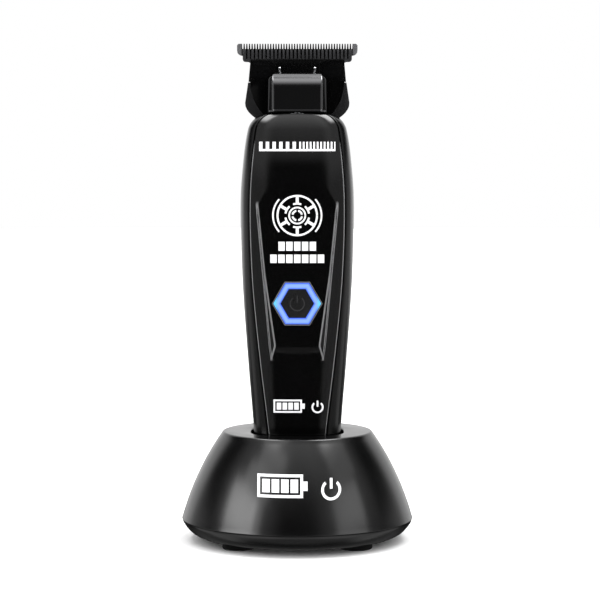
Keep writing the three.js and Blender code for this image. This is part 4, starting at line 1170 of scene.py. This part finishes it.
def studio():
    """The camera sees white, diffuse surfaces an even light and glossy ones the soft boxes."""
    scene = bpy.context.scene
    scene.view_settings.view_transform = "Standard"
    world = bpy.data.worlds.new("studio")
    scene.world = world
    world.use_nodes = True
    nodes = Nodes(world.node_tree)
    paths = nodes.add("ShaderNodeLightPath").outputs
    white = (1, 1, 1, 1)
    glossy, even, backdrop = (
        nodes.add("ShaderNodeBackground", {"Color": white, "Strength": strength}).outputs[0]
        for strength in (studio_light(nodes), SHADOW_LIGHT, 1.0)
    )
    mixed = nodes.add("ShaderNodeMixShader", {0: paths["Is Diffuse Ray"], 1: glossy, 2: even})
    seen = nodes.add("ShaderNodeMixShader", {0: paths["Is Camera Ray"], 1: mixed.outputs[0], 2: backdrop})
    nodes.add("ShaderNodeOutputWorld", {"Surface": seen.outputs[0]})


def lay_floor():
    """Pale floor, which glossy surfaces don't see."""
    floor = mesh_object("floor", disc(0, 0, 0, 2500, 96), [tuple(range(96))])
    material = bpy.data.materials.new("floor")
    material.use_nodes = True
    paint = Nodes(material.node_tree)
    tone = paint.ramp(paint.noise(3.0), 0.3, 0.7, 0.88, 0.92)
    matte = paint.add("ShaderNodeBsdfDiffuse")
    paint.link(tone, matte, "Color")
    paint.add("ShaderNodeOutputMaterial", {"Surface": matte.outputs[0]})
    floor.data.materials.append(material)
    floor.visible_glossy = False


# Soft lights for the base alone: azimuth, elevation, width and height in degrees, brightness.
BASE_LIGHTS = [
    (-64, 23, 32, 17, 6.0),
    (-44, 23, 10, 16, 2.2),
    (-52, 38, 30, 12, 2.1),
    (-40, 50, 30, 12, 1.6),
    (58, 24, 32, 18, 2.0),
    (66, 40, 28, 12, 0.8),
    (69, 52, 30, 12, 1.2),
]
LIGHT_DISTANCE = 700.0
LIGHT_AIM_Z = 20.0


def base_lights(*receivers):
    """Area lights that shine only on the pieces of the base."""
    group = bpy.data.collections.new("base_only")
    for obj in receivers:
        group.objects.link(obj)
    for k, (azimuth, elevation, wide, high, brightness) in enumerate(BASE_LIGHTS):
        data = bpy.data.lights.new(f"base_light_{k + 1}", "AREA")
        data.shape = "RECTANGLE"
        data.size = 2 * LIGHT_DISTANCE * MM * math.tan(math.radians(wide / 2))
        data.size_y = 2 * LIGHT_DISTANCE * MM * math.tan(math.radians(high / 2))
        data.energy = brightness * math.pi * data.size * data.size_y
        a, e = math.radians(azimuth), math.radians(elevation)
        direction = Vector((math.sin(a) * math.cos(e), -math.cos(a) * math.cos(e), math.sin(e)))
        obj = bpy.data.objects.new(data.name, data)
        obj.location = (Vector((0, 0, LIGHT_AIM_Z)) + LIGHT_DISTANCE * direction) * MM
        obj.rotation_euler = direction.to_track_quat("Z", "Y").to_euler()
        obj.visible_camera = False
        bpy.context.scene.collection.objects.link(obj)
        obj.light_linking.receiver_collection = group


# ------------ the clipper

# Small bevels on CAD nodes: width in mm, and the nodes
BEVELS = {
    0.2: ["end_cap"],
    0.15: ["power_button", "blade_holder", "motor_mount", "motor_case", "inner_frame"],
    0.12: ["cutter_guide"],
    0.1: ["button_bezel", "base_inlet"],
    0.08: ["led_ring"],
    0.05: ["fixed_blade", "moving_cutter"],
}
SIDES = ("left", "right")
# The CAD nodes of each look; the others are plain steel
LOOK_OF_NODE = {
    "button_black": ["power_button"],
    "satin_black": ["end_cap", "cutter_guide"],
    "black_chrome": [f"housing_screw_{row}_{side}" for row in ("lower", "upper") for side in SIDES],
    "matte_black": ["cradle_cup", "contact_block", "tact_switch", "inner_frame"],
    "rubber_black": [f"foot_{k}" for k in range(1, 5)],
    "black_metal": ["blade_holder", "motor_mount"],
    "bezel_black": ["button_bezel"],
    "black_steel": ["fixed_blade", "blade_screw_left", "blade_screw_right", "rotor"],
    "cutter_steel": ["moving_cutter"],
    "spring_steel": [
        "tension_spring", "front_bearing", "rear_bearing", "eccentric_cam", "battery_tab_top",
        "battery_tab_bottom", "pin_spring_left", "pin_spring_right",
    ],
    "contact_gold": ["charge_pad_left", "charge_pad_right", "contact_pin_left", "contact_pin_right"],
    "copper_winding": ["stator"],
    "light_blue": ["led_ring"],
    "circuit_board": ["charging_board", "control_board"],
    "cell_wrap": ["battery_cell"],
}


def dress_cad_nodes():
    """Looks and small bevels of the pieces that stay as packed."""
    looks = {node: look for look, names in LOOK_OF_NODE.items() for node in names}
    bevels = {node: width for width, names in BEVELS.items() for node in names}
    for name, obj in frame["nodes"].items():
        dress(obj, looks.get(name, "steel"), bevels.get(name, 0.0))


camera()
studio()
lay_floor()
dress_cad_nodes()

place(front_panel(), "trimmer", "panel_gloss", "front_cover")
place(rear_shell(), "trimmer", "satin_black", "rear_housing")
dome = place(base_dome(), "charging_base", "satin_black", "base_shell")
pan = place(base_pan(), "charging_base", "satin_black", "base_tray")
base_lights(dome, pan)
place(cam_cover(), "trimmer", "black_chrome", "drive_cover")
for side, x in (("left", -CONTACT_X), ("right", CONTACT_X)):
    spring = contact_spring(f"contact_spring_{side}", x)
    place(spring, "charging_base", "spring_steel", f"pin_spring_{side}")
    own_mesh(spring)

handle_sign = battery_sign(-8.2, 2.6, 46.3, 50.9, 0.6) + power_sign(7.0, 48.2, 2.1, 0.6)
base_sign = battery_sign(-13.5, 3.5, 20.0, 27.5, 0.9) + power_sign(11.5, 22.4, 3.4, 0.9)
button_sign = power_sign(0, BUTTON_Z, 2.6, 0.32)
print_mark("comb_scale", comb_scale(), panel_y, "trimmer")
print_mark("motor_sign", motor_sign(), panel_y, "trimmer")
print_mark("level_bars", level_bars(), panel_y, "trimmer")
print_mark("handle_sign", handle_sign, panel_y, "trimmer")
print_mark("button_sign", button_sign, lambda x, z: BUTTON_FACE_Y + 0.05, "button", "print_faint")
print_mark("base_sign", base_sign, dome_y, "charging_base")
